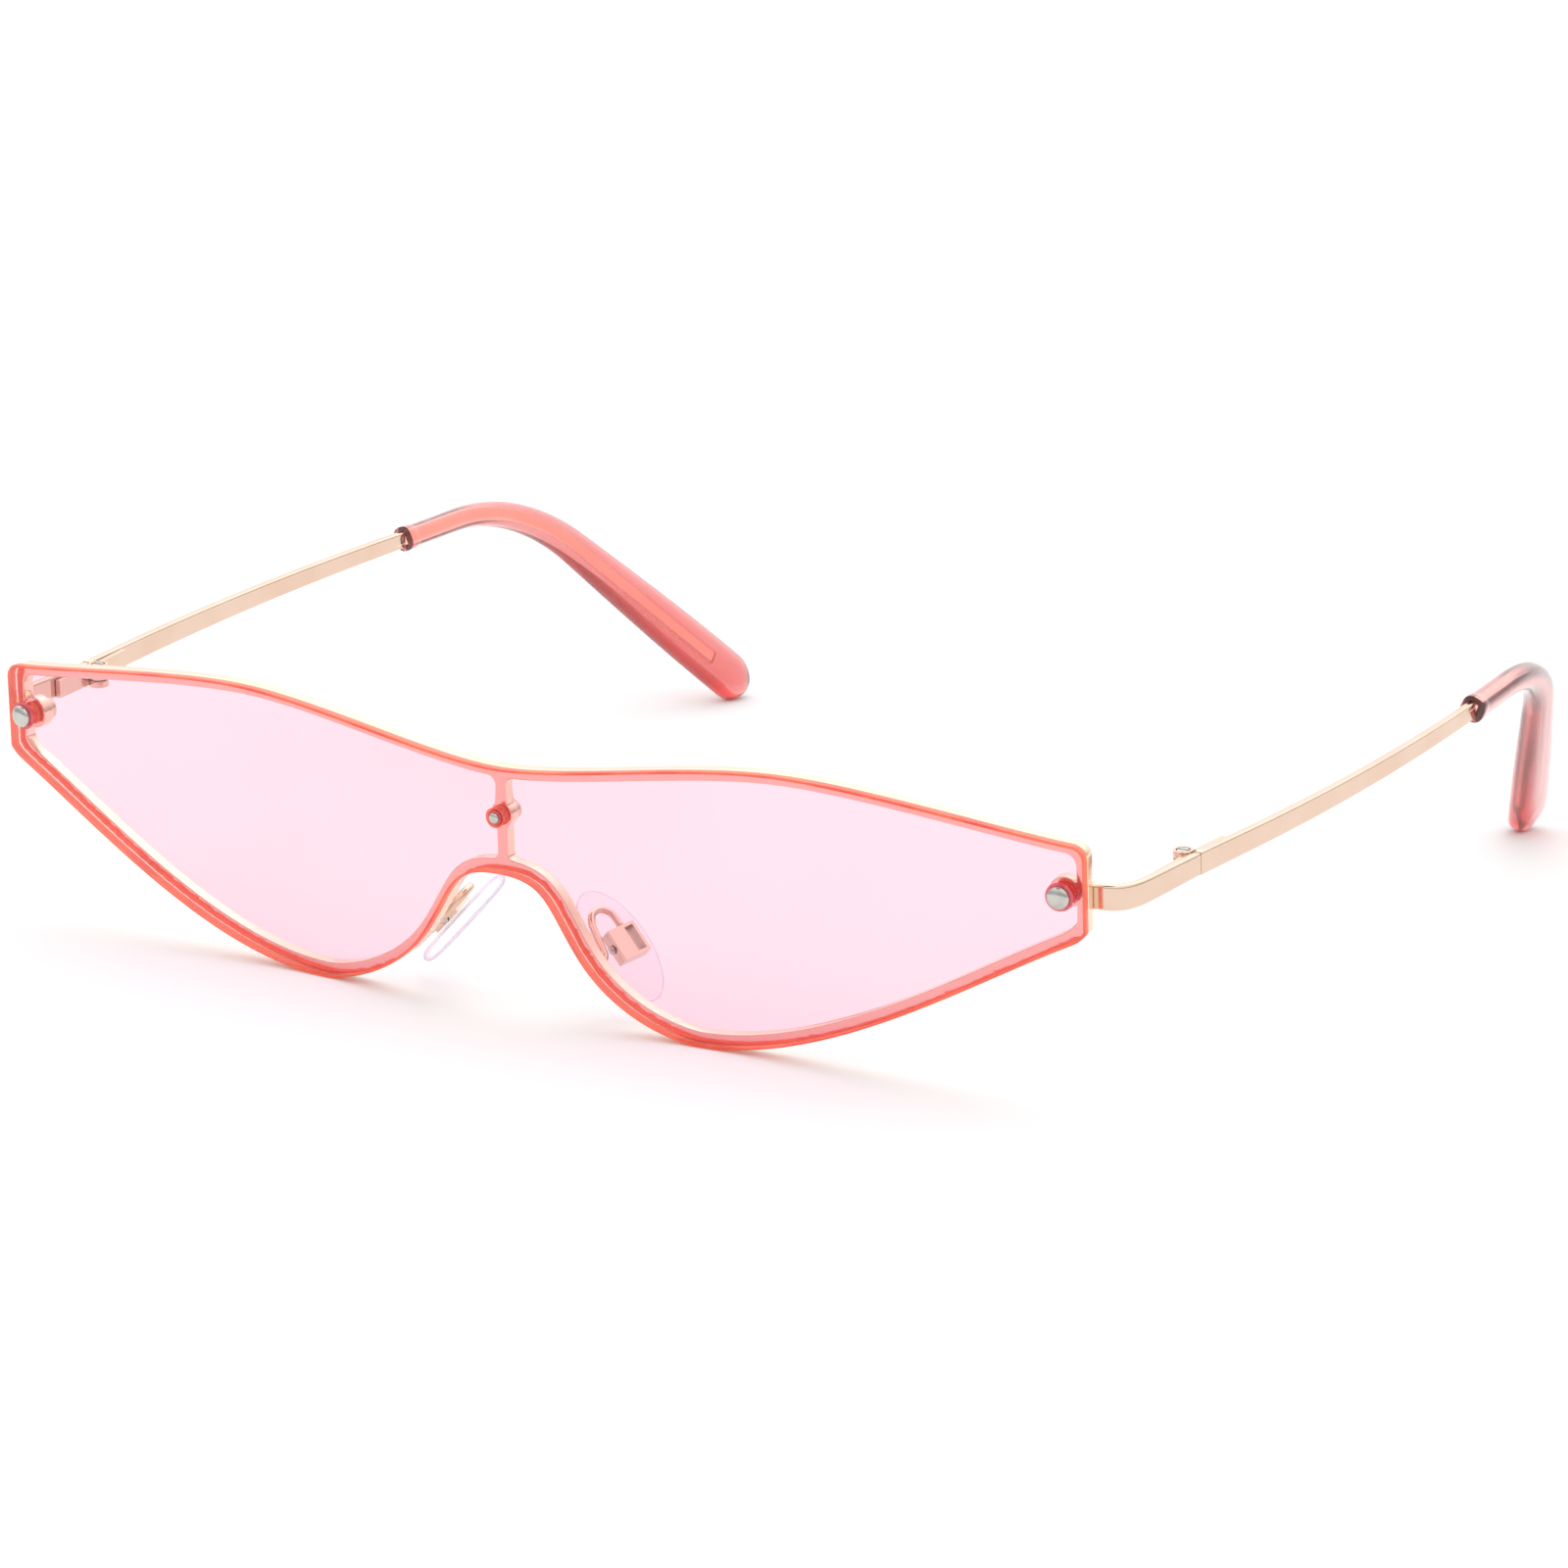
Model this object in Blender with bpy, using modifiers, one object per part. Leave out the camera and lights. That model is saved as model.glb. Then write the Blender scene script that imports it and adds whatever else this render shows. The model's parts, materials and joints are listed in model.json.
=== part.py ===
"""Cat eye shield sunglasses: one curved lens pinned to a stamped metal frame.

The front is laid out in the lens frame: +X to the wearer's right-hand side of a
front view, -Y towards the viewer, +Z up, with the lens's front at y = 0 on the
middle line.  At the end the whole assembly leans until the two lens lobes and
the two temple tips stand on z = 0, which is how the glasses rest on a table.
"""

import math

import bmesh
import bpy
import numpy as np
from mathutils import Matrix, Vector
from mathutils.geometry import interpolate_bezier

MM = 0.001

# Lens: half outline, seen from the front
LENS_HALF_WIDTH = 75.0 * MM
LENS_SAGITTA = 6.8 * MM  # how far the lens's ends lie behind its middle
LENS_THICKNESS = 1.2 * MM
TOP_MIDDLE_Z = 12.4 * MM
BROW_X, BROW_Z = 37.2 * MM, 16.5 * MM
UPPER_CORNER_Z = 12.3 * MM
LOWER_CORNER_Z = 1.4 * MM
LOWER_CORNER_SLOPE = 0.45
LOBE_X, LOBE_Z = 26.2 * MM, -17.5 * MM
FLANK_X, FLANK_Z, FLANK_SLOPE = 10.3 * MM, -8.8 * MM, 1.45
ARCH_Z = -0.5 * MM
UPPER_CORNER_RADIUS = 1.6 * MM
LOWER_CORNER_RADIUS = 1.2 * MM
# How far each bend of the outline reaches: the lengths of its curve handles
TOP_MIDDLE_REACH = 9.3 * MM
BROW_INNER_REACH, BROW_OUTER_REACH = 12.1 * MM, 12.4 * MM
UPPER_CORNER_REACH, LOWER_CORNER_REACH = 4.3 * MM, 14.5 * MM
LOBE_OUTER_REACH, LOBE_INNER_REACH = 17.8 * MM, 1.6 * MM
FLANK_LOWER_REACH, FLANK_UPPER_REACH = 9.2 * MM, 6.8 * MM
ARCH_REACH = 6.5 * MM

# Metal frame behind the lens
RIM_INSET = 0.1 * MM  # the rim's outline inside the lens's outline
RIM_WIDTH = 1.4 * MM
RIM_THICKNESS = 1.55 * MM
RIM_GAP = 0.15 * MM  # between the lens's back and the rim's front
POST_WIDTH = 1.45 * MM
POST_FLARE = 1.0 * MM  # fillet where the post meets the rim
BOSS_DIAMETER = 3.0 * MM
TAB_DIAMETER = 3.8 * MM
WINDOW_CORNER_RADIUS = 1.3 * MM
TAB_FILLET = 0.5 * MM  # where a tab or boss meets straight metal
LEAST_FILLET = 0.3 * MM
PIN_Z = 6.4 * MM
SIDE_PIN_INSET = 2.9 * MM  # from the lens's end
SIDE_PIN_X = LENS_HALF_WIDTH - SIDE_PIN_INSET

# Pins, bushes and nuts that hold the lens
FIT = 0.1 * MM  # clearance round a pin, a screw or a bush
SIDE_HEAD_DIAMETER, SIDE_HEAD_HEIGHT = 2.7 * MM, 0.75 * MM
SIDE_SHANK_DIAMETER = 1.2 * MM
SIDE_BUSH_DIAMETER = 2.0 * MM
SIDE_FLANGE_DIAMETER, FLANGE_THICKNESS = 3.4 * MM, 0.35 * MM
CENTRE_HEAD_DIAMETER, CENTRE_HEAD_HEIGHT = 1.3 * MM, 0.35 * MM
CENTRE_SHANK_DIAMETER = 0.8 * MM
CENTRE_BUSH_DIAMETER = 1.7 * MM
NUT_WALL, NUT_LENGTH, NUT_CHAMFER = 0.75 * MM, 1.1 * MM, 0.25 * MM
HEAD_RIM_SHARE = 0.2  # of a domed head's height, straight below the dome

# End pieces, hinges and temples
ARM_OUTSTAND = 3.05 * MM  # from the lens's end to the middle of the arm's thickness
ARM_X = LENS_HALF_WIDTH + ARM_OUTSTAND
ARM_THICKNESS = 1.1 * MM
ARM_Z = 5.2 * MM  # middle of the arm's height at the hinge
ARM_LENGTH, ARM_STRAIGHT = 66.0 * MM, 8.5 * MM  # from the hinge to the sleeve; straight at first
ARM_BOW = math.radians(9.0)  # how far the arm then curves back in towards the head
OPEN_ANGLE = math.radians(3.1)  # how far the open temples stand outwards at the hinge
ARM_HEIGHT_FRONT, ARM_HEIGHT_BACK = 2.8 * MM, 2.1 * MM
SLEEVE_START_Z = 4.45 * MM
HINGE_SETBACK = 19.6 * MM  # from the front of the lens's ends to the hinge pin
HINGE_Y = LENS_SAGITTA + HINGE_SETBACK
HINGE_SEAM = 0.3 * MM  # between the end piece and the closed temple
ENDPIECE_HEIGHT, ENDPIECE_Z = 3.1 * MM, 5.6 * MM  # at the rim
ENDPIECE_BEND_X = 1.0 * MM  # where its bend starts, outside the lens's end
ENDPIECE_BEND_DEPTH = 6.0 * MM  # how far behind that the bend ends
ENDPIECE_BEND_REACH = 2.4 * MM, 3.4 * MM  # handle lengths at the bend's two ends
LEAF_THICKNESS, LEAF_LENGTH, LEAF_HEIGHT = 0.6 * MM, 7.0 * MM, 2.2 * MM
LEAF_START = 0.3 * MM  # from the hinge's axis to the near end of a leaf
SOLDER_GAP = 0.1 * MM
BARREL_DIAMETER = 2.4 * MM
KNUCKLE_HEIGHT = 0.85 * MM
KNUCKLE_GAP = 0.1 * MM
HINGE_SCREW_DIAMETER = 0.9 * MM
HINGE_HEAD_DIAMETER, HINGE_HEAD_HEIGHT = 1.5 * MM, 0.35 * MM
HEAD_CHAMFER = 0.08 * MM
SLOT_WIDTH, SLOT_DEPTH = 0.3 * MM, 0.18 * MM

# Temple tips: straight run, ear bend, then straight to the end
SLEEVE_STRAIGHT = 10.0 * MM
EAR_BEND_RADIUS = 25.0 * MM
EAR_BEND_ANGLE = math.radians(50.0)
TIP_STRAIGHT = 32.5 * MM
EAR_PLANE_TILT = math.radians(24.5)  # how far the drop leans towards the head
TIP_BREADTH_START, TIP_BREADTH_END = 2.9 * MM, 6.6 * MM
TIP_THICKNESS_START, TIP_THICKNESS_END = 2.8 * MM, 3.5 * MM
TIP_SQUARENESS = 2.6  # 2 is an ellipse, and more is a squarer section
SWELL_START, SWELL_END = 0.12, 0.90  # the stretch over which a tip grows, as shares of it
COLLAR_LENGTH, COLLAR_PROUD, COLLAR_STEP = 1.3 * MM, 0.15 * MM, 0.3 * MM
CORE_BREADTH, CORE_THICKNESS = 1.3 * MM, 0.7 * MM
CORE_FIT = 0.15 * MM
CORE_END_MARGIN = 7.0 * MM
CORE_ROOT = 2.0 * MM  # how far the core runs into the arm

# Nose pads
PAD_SETBACK = 5.7 * MM  # from the back of the rim to the middle of the pad
PAD_CENTRE_X, PAD_CENTRE_Z = 10.9 * MM, -10.1 * MM
PAD_LONG_AXIS = Vector((0.68, -0.10, -0.73)).normalized()
PAD_REARWARD = Vector((0.26, 0.96, 0.11))
PAD_LENGTH, PAD_BREADTH, PAD_THICKNESS = 15.2 * MM, 8.0 * MM, 1.6 * MM
PAD_ROCK_ROOM = 0.35 * MM  # free space round the lug and under the box, for rocking
BOX_LENGTH, BOX_BREADTH, BOX_HEIGHT = 4.0 * MM, 3.9 * MM, 1.75 * MM
BOX_ALONG, BOX_ACROSS = 0.5 * MM, -0.45 * MM  # the box's middle, from the pad's middle
BOX_WALL = 0.4 * MM
LUG_LENGTH, LUG_BREADTH, LUG_DEPTH = 2.2 * MM, 1.25 * MM, 1.5 * MM
LUG_ROOT = 0.4 * MM  # how far the lug starts inside the cushion
PAD_SCREW_DIAMETER, PAD_SCREW_HEAD = 0.6 * MM, 1.1 * MM
PAD_SCREW_HEAD_RIM, PAD_SCREW_DOME = 0.1 * MM, 0.25 * MM
PAD_SCREW_RISE = 0.95 * MM  # its axis above the pad's back
PAD_WIRE_DIAMETER, PAD_WIRE_RISE = 0.9 * MM, 1.3 * MM
# The wire's hook, along and across the pad in mm: off the rim, up, over and down to the box
WIRE_HOOK = [(1.3, -4.6), (0.6, -4.0), (-1.2, -3.6), (-3.1, -3.2), (-4.3, -2.3), (-4.4, -1.0), (-3.4, 0.0)]
WIRE_LANDING = 0.15 * MM  # across the pad, at the box's end

# Fineness of curved faces, and how far a cutter runs past what it cuts
CURVE_STEPS = 16
ARC_STEPS = 6
BEND_STEPS = 12
ROUND_SEGMENTS = 24
SMALL_SEGMENTS = 16
PAD_SEGMENTS = 32
PAD_EDGE_STEPS = 8
SLICE_STEP = 5.0 * MM
TIP_SEGMENTS, TIP_RINGS, CORE_RINGS = 20, 26, 24
TIP_END_ANGLES = 20, 38, 54, 68, 80
ARM_FLATS = 8
SMOOTH_EDGE = math.radians(35)
MOST_LEAN, LEAN_HALVINGS = math.radians(20), 50
OVERCUT = 1.0 * MM
WELD = 1e-7

GOLD = dict(colour=(0.83, 0.66, 0.50), roughness=0.22, metallic=1.0)
STEEL = dict(colour=(0.62, 0.60, 0.56), roughness=0.18, metallic=1.0)
LENS_PINK = dict(colour=(0.98, 0.62, 0.74), roughness=0.05, alpha=0.35)
BUSH_PINK = dict(colour=(0.90, 0.30, 0.36), roughness=0.25, alpha=0.8)
TIP_PINK = dict(colour=(0.82, 0.27, 0.25), roughness=0.2, alpha=0.75)
CLEAR = dict(colour=(0.93, 0.88, 0.93), roughness=0.08, alpha=0.3)


# ---------------------------------------------------------------- scene set-up


def clear_scene():
    for obj in list(bpy.data.objects):
        bpy.data.objects.remove(obj, do_unlink=True)


def new_collection(name, hidden=False):
    collection = bpy.data.collections.new(name)
    bpy.context.scene.collection.children.link(collection)
    collection.hide_render = hidden
    return collection


def new_material(name, colour, roughness, metallic=0.0, alpha=1.0):
    material = bpy.data.materials.new(name)
    material.use_nodes = True
    shader = material.node_tree.nodes["Principled BSDF"]
    shader.inputs["Base Color"].default_value = (*colour, 1.0)
    shader.inputs["Roughness"].default_value = roughness
    shader.inputs["Metallic"].default_value = metallic
    shader.inputs["Alpha"].default_value = alpha
    return material


class Assembly:
    """The collections, the frame that leans, and one method that adds a sub-part."""

    def __init__(self):
        self.parts = new_collection("cat_eye_sunglasses")
        self.cutters = new_collection("cutters", hidden=True)
        self.frame = bpy.data.objects.new("lens_frame", None)
        self.parts.objects.link(self.frame)
        self.places = {self.frame.name: Matrix.Identity(4)}

    def pivot(self, name, place, turn=0.0):
        """An empty on a joint's axis, which the moving pieces hang from.

        The pieces are modelled with the joint unturned, and the turn about the
        empty's Z axis then brings them to their rest position.
        """
        empty = bpy.data.objects.new(name, None)
        self.parts.objects.link(empty)
        empty.parent = self.frame
        empty.matrix_local = place @ Matrix.Rotation(turn, 4, "Z")
        self.places[name] = place
        return empty

    def add(self, name, mesh, finish, parent=None):
        """A part whose mesh is in the lens frame, hung from the parent's origin."""
        obj = bpy.data.objects.new(name, mesh)
        mesh.materials.clear()
        mesh.materials.append(new_material(name, **finish))
        mesh.shade_smooth()
        mesh.set_sharp_from_angle(angle=SMOOTH_EDGE)
        self.parts.objects.link(obj)
        obj.parent = parent or self.frame
        mesh.transform(self.places[obj.parent.name].inverted())
        return obj

    def cut(self, target, name, mesh, operation="DIFFERENCE"):
        """A Boolean on the target, with a cutter that shares its parent."""
        cutter = bpy.data.objects.new(name, mesh)
        self.cutters.objects.link(cutter)
        cutter.parent = target.parent
        mesh.transform(self.places[target.parent.name].inverted())
        cutter.hide_render = True
        cutter.display_type = "WIRE"
        modifier = target.modifiers.new(name, "BOOLEAN")
        modifier.operation = operation
        modifier.solver = "EXACT"
        modifier.object = cutter


# ---------------------------------------------------------------- mesh helpers


def mesh_from(build):
    """The mesh that a function fills into a fresh bmesh, closed and facing out."""
    shape = bmesh.new()
    build(shape)
    bmesh.ops.remove_doubles(shape, verts=shape.verts, dist=WELD)
    bmesh.ops.recalc_face_normals(shape, faces=shape.faces)
    mesh = bpy.data.meshes.new("shape")
    shape.to_mesh(mesh)
    shape.free()
    return mesh


def welded(mesh):
    """The mesh with its loose caps and seams joined, facing out."""
    return mesh_from(lambda shape: shape.from_mesh(mesh))


def evaluated_mesh(obj):
    """An object's mesh as its modifiers make it, with the object itself removed."""
    bpy.context.scene.collection.objects.link(obj)
    graph = bpy.context.evaluated_depsgraph_get()
    mesh = bpy.data.meshes.new_from_object(obj.evaluated_get(graph))
    bpy.data.objects.remove(obj, do_unlink=True)
    return mesh


def cylinder(start, end, diameter, segments=ROUND_SEGMENTS):
    axis = end - start
    turn = axis.to_track_quat("Z", "Y").to_matrix().to_4x4()
    place = Matrix.Translation((start + end) / 2) @ turn
    return mesh_from(
        lambda shape: bmesh.ops.create_cone(
            shape,
            cap_ends=True,
            segments=segments,
            radius1=diameter / 2,
            radius2=diameter / 2,
            depth=axis.length,
            matrix=place,
        )
    )


def block(size, place):
    return mesh_from(
        lambda shape: bmesh.ops.create_cube(
            shape, size=1.0, matrix=place @ Matrix.Diagonal((*size, 1.0))
        )
    )


def turned(profile, place, segments=ROUND_SEGMENTS):
    """A closed profile of (radius, height) turned about Z, by a Screw modifier."""
    outline = bpy.data.meshes.new("profile")
    count = len(profile)
    points = [(radius, 0.0, height) for radius, height in profile]
    outline.from_pydata(points, [(i, (i + 1) % count) for i in range(count)], [])
    obj = bpy.data.objects.new("turned", outline)
    screw = obj.modifiers.new("turn", "SCREW")
    screw.axis = "Z"
    screw.steps = screw.render_steps = segments
    screw.use_merge_vertices = True
    screw.merge_threshold = 1e-6
    mesh = welded(evaluated_mesh(obj))
    mesh.transform(place)
    return mesh


def plate(loops, thickness):
    """Closed outlines in x and z, later ones cutting holes, made a plate in 0 <= y <= thickness."""
    curve = bpy.data.curves.new("plate", "CURVE")
    curve.dimensions = "2D"
    curve.fill_mode = "BOTH"
    curve.extrude = thickness / 2
    for loop in loops:
        spline = curve.splines.new("POLY")
        spline.points.add(len(loop) - 1)
        spline.use_cyclic_u = True
        for point, (x, z) in zip(spline.points, loop):
            point.co = (x, z, 0.0, 1.0)
    mesh = evaluated_mesh(bpy.data.objects.new("plate", curve))
    mesh.transform(Matrix.Translation((0, thickness / 2, 0)) @ Matrix.Rotation(math.pi / 2, 4, "X"))

    def build(shape):
        shape.from_mesh(mesh)
        bmesh.ops.remove_doubles(shape, verts=shape.verts, dist=WELD)
        bmesh.ops.dissolve_limit(shape, angle_limit=math.radians(1), verts=[], edges=shape.edges)

    return mesh_from(build)


def sliced(mesh):
    """The mesh with extra edges at even steps along X, so that it can follow the lens's curve."""
    shape = bmesh.new()
    shape.from_mesh(mesh)
    steps = math.ceil(LENS_HALF_WIDTH / SLICE_STEP)
    for k in range(-steps, steps + 1):
        geometry = shape.verts[:] + shape.edges[:] + shape.faces[:]
        place = (k * SLICE_STEP, 0.0, 0.0)
        bmesh.ops.bisect_plane(shape, geom=geometry, dist=WELD, plane_co=place, plane_no=(1, 0, 0))
    bmesh.ops.triangulate(shape, faces=shape.faces)
    shape.to_mesh(mesh)
    shape.free()
    return mesh


def lens_normal(x):
    """The way back from the lens's front, square to its surface."""
    slope = 2 * LENS_SAGITTA * x / LENS_HALF_WIDTH**2
    return Vector((-slope, 1.0, 0.0)).normalized()


def on_lens(x, depth, z):
    """The point at this depth behind the lens's curved front."""
    front = Vector((x, LENS_SAGITTA * (x / LENS_HALF_WIDTH) ** 2, z))
    return front + lens_normal(x) * depth


def bent(mesh):
    """A flat plate's mesh laid onto the lens's curve, its y taken as the depth."""
    for vertex in mesh.vertices:
        vertex.co = on_lens(*vertex.co)
    return mesh


def loft(rings):
    """A closed solid through rings that all have the same number of points."""

    def build(shape):
        made = [[shape.verts.new(point) for point in ring] for ring in rings]
        for lower, upper in zip(made, made[1:]):
            for i in range(len(lower)):
                j = (i + 1) % len(lower)
                shape.faces.new((lower[i], lower[j], upper[j], upper[i]))
        shape.faces.new(made[0])
        shape.faces.new(made[-1])

    return mesh_from(build)


def mirrored(mesh):
    """A copy of the mesh on the other side of the middle plane."""
    copy = mesh.copy()
    copy.transform(Matrix.Diagonal((-1, 1, 1, 1)))
    copy.flip_normals()
    return copy


def sided(mesh, side):
    """A right-hand mesh as it is, or mirrored for the left-hand side."""
    return mesh if side > 0 else mirrored(mesh)


# ---------------------------------------------------------------- outlines


def bezier(start, start_handle, end_handle, end, steps=CURVE_STEPS):
    knots = [Vector((*knot, 0)) for knot in (start, start_handle, end_handle, end)]
    return np.array([(p.x, p.y) for p in interpolate_bezier(*knots, steps)])


def top_path():
    """The lens's top edge, from the middle line to the outer corner."""
    middle = np.array([0.0, TOP_MIDDLE_Z])
    brow = np.array([BROW_X, BROW_Z])
    corner = np.array([LENS_HALF_WIDTH, UPPER_CORNER_Z])
    rise = bezier(middle, middle + [TOP_MIDDLE_REACH, 0], brow - [BROW_INNER_REACH, 0], brow)
    fall = bezier(brow, brow + [BROW_OUTER_REACH, 0], corner - [UPPER_CORNER_REACH, 0], corner)
    return np.vstack([rise, fall[1:]])


def bottom_path():
    """The lens's bottom edge, from the outer corner round the lobe to the nose arch."""
    corner = np.array([LENS_HALF_WIDTH, LOWER_CORNER_Z])
    lobe = np.array([LOBE_X, LOBE_Z])
    flank = np.array([FLANK_X, FLANK_Z])
    arch = np.array([0.0, ARCH_Z])
    along_corner = np.array([-1, -LOWER_CORNER_SLOPE]) / math.hypot(1, LOWER_CORNER_SLOPE)
    along_flank = np.array([-1, FLANK_SLOPE]) / math.hypot(1, FLANK_SLOPE)
    outer_start = corner + along_corner * LOWER_CORNER_REACH
    outer = bezier(corner, outer_start, lobe + [LOBE_OUTER_REACH, 0], lobe)
    inner_end = flank - along_flank * FLANK_LOWER_REACH
    inner = bezier(lobe, lobe - [LOBE_INNER_REACH, 0], inner_end, flank)
    nose_start = flank + along_flank * FLANK_UPPER_REACH
    nose = bezier(flank, nose_start, arch + [ARCH_REACH, 0], arch)
    return np.vstack([outer, inner[1:], nose[1:]])


def offset(path, distance):
    """The path moved to its right-hand side, which is into the lens."""
    tangent = np.gradient(path, axis=0)
    tangent /= np.linalg.norm(tangent, axis=1)[:, None]
    return path + distance * np.column_stack([tangent[:, 1], -tangent[:, 0]])


def between(path, low, high):
    """The part of a path between two values of x, ended exactly there."""
    x, z = path[:, 0], path[:, 1]
    order = np.argsort(x)
    inside = path[(x > low) & (x < high)]
    ends = [(end, np.interp(end, x[order], z[order])) for end in (low, high)]
    if x[0] > x[-1]:
        ends.reverse()
    return np.vstack([ends[0], inside, ends[1]])


def filleted(paths, radii):
    """Paths joined end to start, with an arc of the given radius over each join.

    The last radius belongs to the join of the last path and the first one, and
    None leaves the two ends open.
    """
    paths = [np.array(path, float) for path in paths]
    arcs = []
    for index, radius in enumerate(radii):
        if not radius:
            arcs.append(None)
            continue
        before, after = paths[index], paths[(index + 1) % len(paths)]
        before, start, along = shortened(before[::-1], radius, after)
        after, end, back = shortened(after, radius, before)
        paths[index], paths[(index + 1) % len(paths)] = before[::-1], after
        turn = math.pi - math.acos(max(-1.0, min(1.0, float(np.dot(along, back)))))
        handle = 4 / 3 * math.tan(turn / 4) * radius
        arcs.append(bezier(start, start - along * handle, end - back * handle, end, ARC_STEPS)[1:-1])
    pieces = []
    for path, arc in zip(paths, arcs):
        pieces += [path] if arc is None else [path, arc]
    return np.vstack(pieces)


def shortened(path, radius, other):
    """The path without the stretch at its start that a fillet takes, its new start and its direction there."""
    first = path[1] - path[0]
    second = other[1] - other[0] if np.allclose(other[0], path[0]) else other[-2] - other[-1]
    first, second = first / np.linalg.norm(first), second / np.linalg.norm(second)
    opening = math.acos(max(-1.0, min(1.0, float(np.dot(first, second)))))
    cut = radius / math.tan(opening / 2)
    length = np.concatenate([[0], np.cumsum(np.linalg.norm(np.diff(path, axis=0), axis=1))])
    cut = min(cut, length[-1] * 0.8)
    start = np.array([np.interp(cut, length, path[:, k]) for k in (0, 1)])
    kept = path[length > cut + 1e-6]
    along = kept[0] - start
    return np.vstack([start, kept]), start, along / np.linalg.norm(along)


def half_outline(inset):
    """The right-hand half of the outline at an inset, from the top middle to the arch."""
    side_x = LENS_HALF_WIDTH - inset
    top = between(offset(top_path(), inset), 0.0, side_x)
    bottom = between(offset(bottom_path(), inset), 0.0, side_x)
    side = np.array([top[-1], bottom[0]])
    corners = [max(radius - inset, LEAST_FILLET) for radius in (UPPER_CORNER_RADIUS, LOWER_CORNER_RADIUS)]
    return filleted([top, side, bottom], [*corners, None])


def whole_outline(inset):
    half = half_outline(inset)
    return np.vstack([half, (half * [-1, 1])[-2:0:-1]])


def arc_points(centre, radius, start, end, steps):
    angles = np.radians(np.linspace(start, end, steps))
    return np.column_stack([centre[0] + radius * np.cos(angles), centre[1] + radius * np.sin(angles)])


def window_outline():
    """The opening right of the post: the rim, the pin's tab and the post's boss bound it."""
    inset = RIM_INSET + RIM_WIDTH
    side_x, post_x = LENS_HALF_WIDTH - inset, POST_WIDTH / 2
    top = between(offset(top_path(), inset), post_x, side_x)
    bottom = between(offset(bottom_path(), inset), post_x, side_x)
    tab, boss = TAB_DIAMETER / 2, BOSS_DIAMETER / 2
    tab_reach = math.sqrt(tab**2 - (side_x - SIDE_PIN_X) ** 2)
    swing = math.degrees(math.asin(tab_reach / tab))
    tab_arc = arc_points((SIDE_PIN_X, PIN_Z), tab, swing, 360 - swing, 17)
    boss_reach = math.sqrt(boss**2 - post_x**2)
    boss_swing = math.degrees(math.atan2(boss_reach, post_x))
    boss_arc = arc_points((0, PIN_Z), boss, -boss_swing, boss_swing, 11)
    upper_side = [(side_x, top[-1][1]), tab_arc[0]]
    lower_side = [tab_arc[-1], (side_x, bottom[0][1])]
    lower_post = [(post_x, bottom[-1][1]), boss_arc[0]]
    upper_post = [boss_arc[-1], (post_x, top[0][1])]
    corner, small = WINDOW_CORNER_RADIUS, TAB_FILLET
    paths = [top, upper_side, tab_arc, lower_side, bottom, lower_post, boss_arc, upper_post]
    radii = [corner, small, small, corner, POST_FLARE, small, small, POST_FLARE]
    return filleted(paths, radii)


def circle(centre, diameter, segments=ROUND_SEGMENTS):
    return arc_points(centre, diameter / 2, 0, 360 * (1 - 1 / segments), segments)


# ---------------------------------------------------------------- front


def pin_places():
    """(name, x, head diameter, head height, shank diameter, bush diameter) of each lens pin."""
    side = (SIDE_HEAD_DIAMETER, SIDE_HEAD_HEIGHT, SIDE_SHANK_DIAMETER, SIDE_BUSH_DIAMETER)
    centre = (CENTRE_HEAD_DIAMETER, CENTRE_HEAD_HEIGHT, CENTRE_SHANK_DIAMETER, CENTRE_BUSH_DIAMETER)
    return [("left", -SIDE_PIN_X, *side), ("centre", 0.0, *centre), ("right", SIDE_PIN_X, *side)]


def add_lens(assembly):
    holes = [circle((x, PIN_Z), bush + 2 * FIT) for _, x, _, _, _, bush in pin_places()]
    mesh = bent(sliced(plate([whole_outline(0.0), *holes], LENS_THICKNESS)))
    assembly.add("shield_lens", mesh, LENS_PINK)


def add_front_frame(assembly):
    window = window_outline()
    places = pin_places()
    holes = [circle((x, PIN_Z), shank + 2 * FIT, SMALL_SEGMENTS) for _, x, _, _, shank, _ in places]
    loops = [whole_outline(RIM_INSET), window, window[::-1] * [-1, 1], *holes]
    mesh = plate(loops, RIM_THICKNESS)
    mesh.transform(Matrix.Translation((0, LENS_THICKNESS + RIM_GAP, 0)))
    assembly.add("front_frame", bent(sliced(mesh)), GOLD)


def pin_frame(x):
    """A frame at a pin's hole with its Z axis pointing forwards out of the lens."""
    forward = -lens_normal(x)
    side = Vector((0, 0, 1)).cross(forward)
    turn = Matrix((side, Vector((0, 0, 1)), forward)).transposed()
    turn.col[1] = forward.cross(side)
    return Matrix.Translation(on_lens(x, 0.0, PIN_Z)) @ turn.to_4x4()


def dome(radius, base, height, steps=5):
    """Profile points of a domed head, from its rim up to the axis."""
    angles = [math.pi / 2 * k / steps for k in range(steps + 1)]
    return [(radius * math.cos(a), base + height * math.sin(a)) for a in angles]


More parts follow.
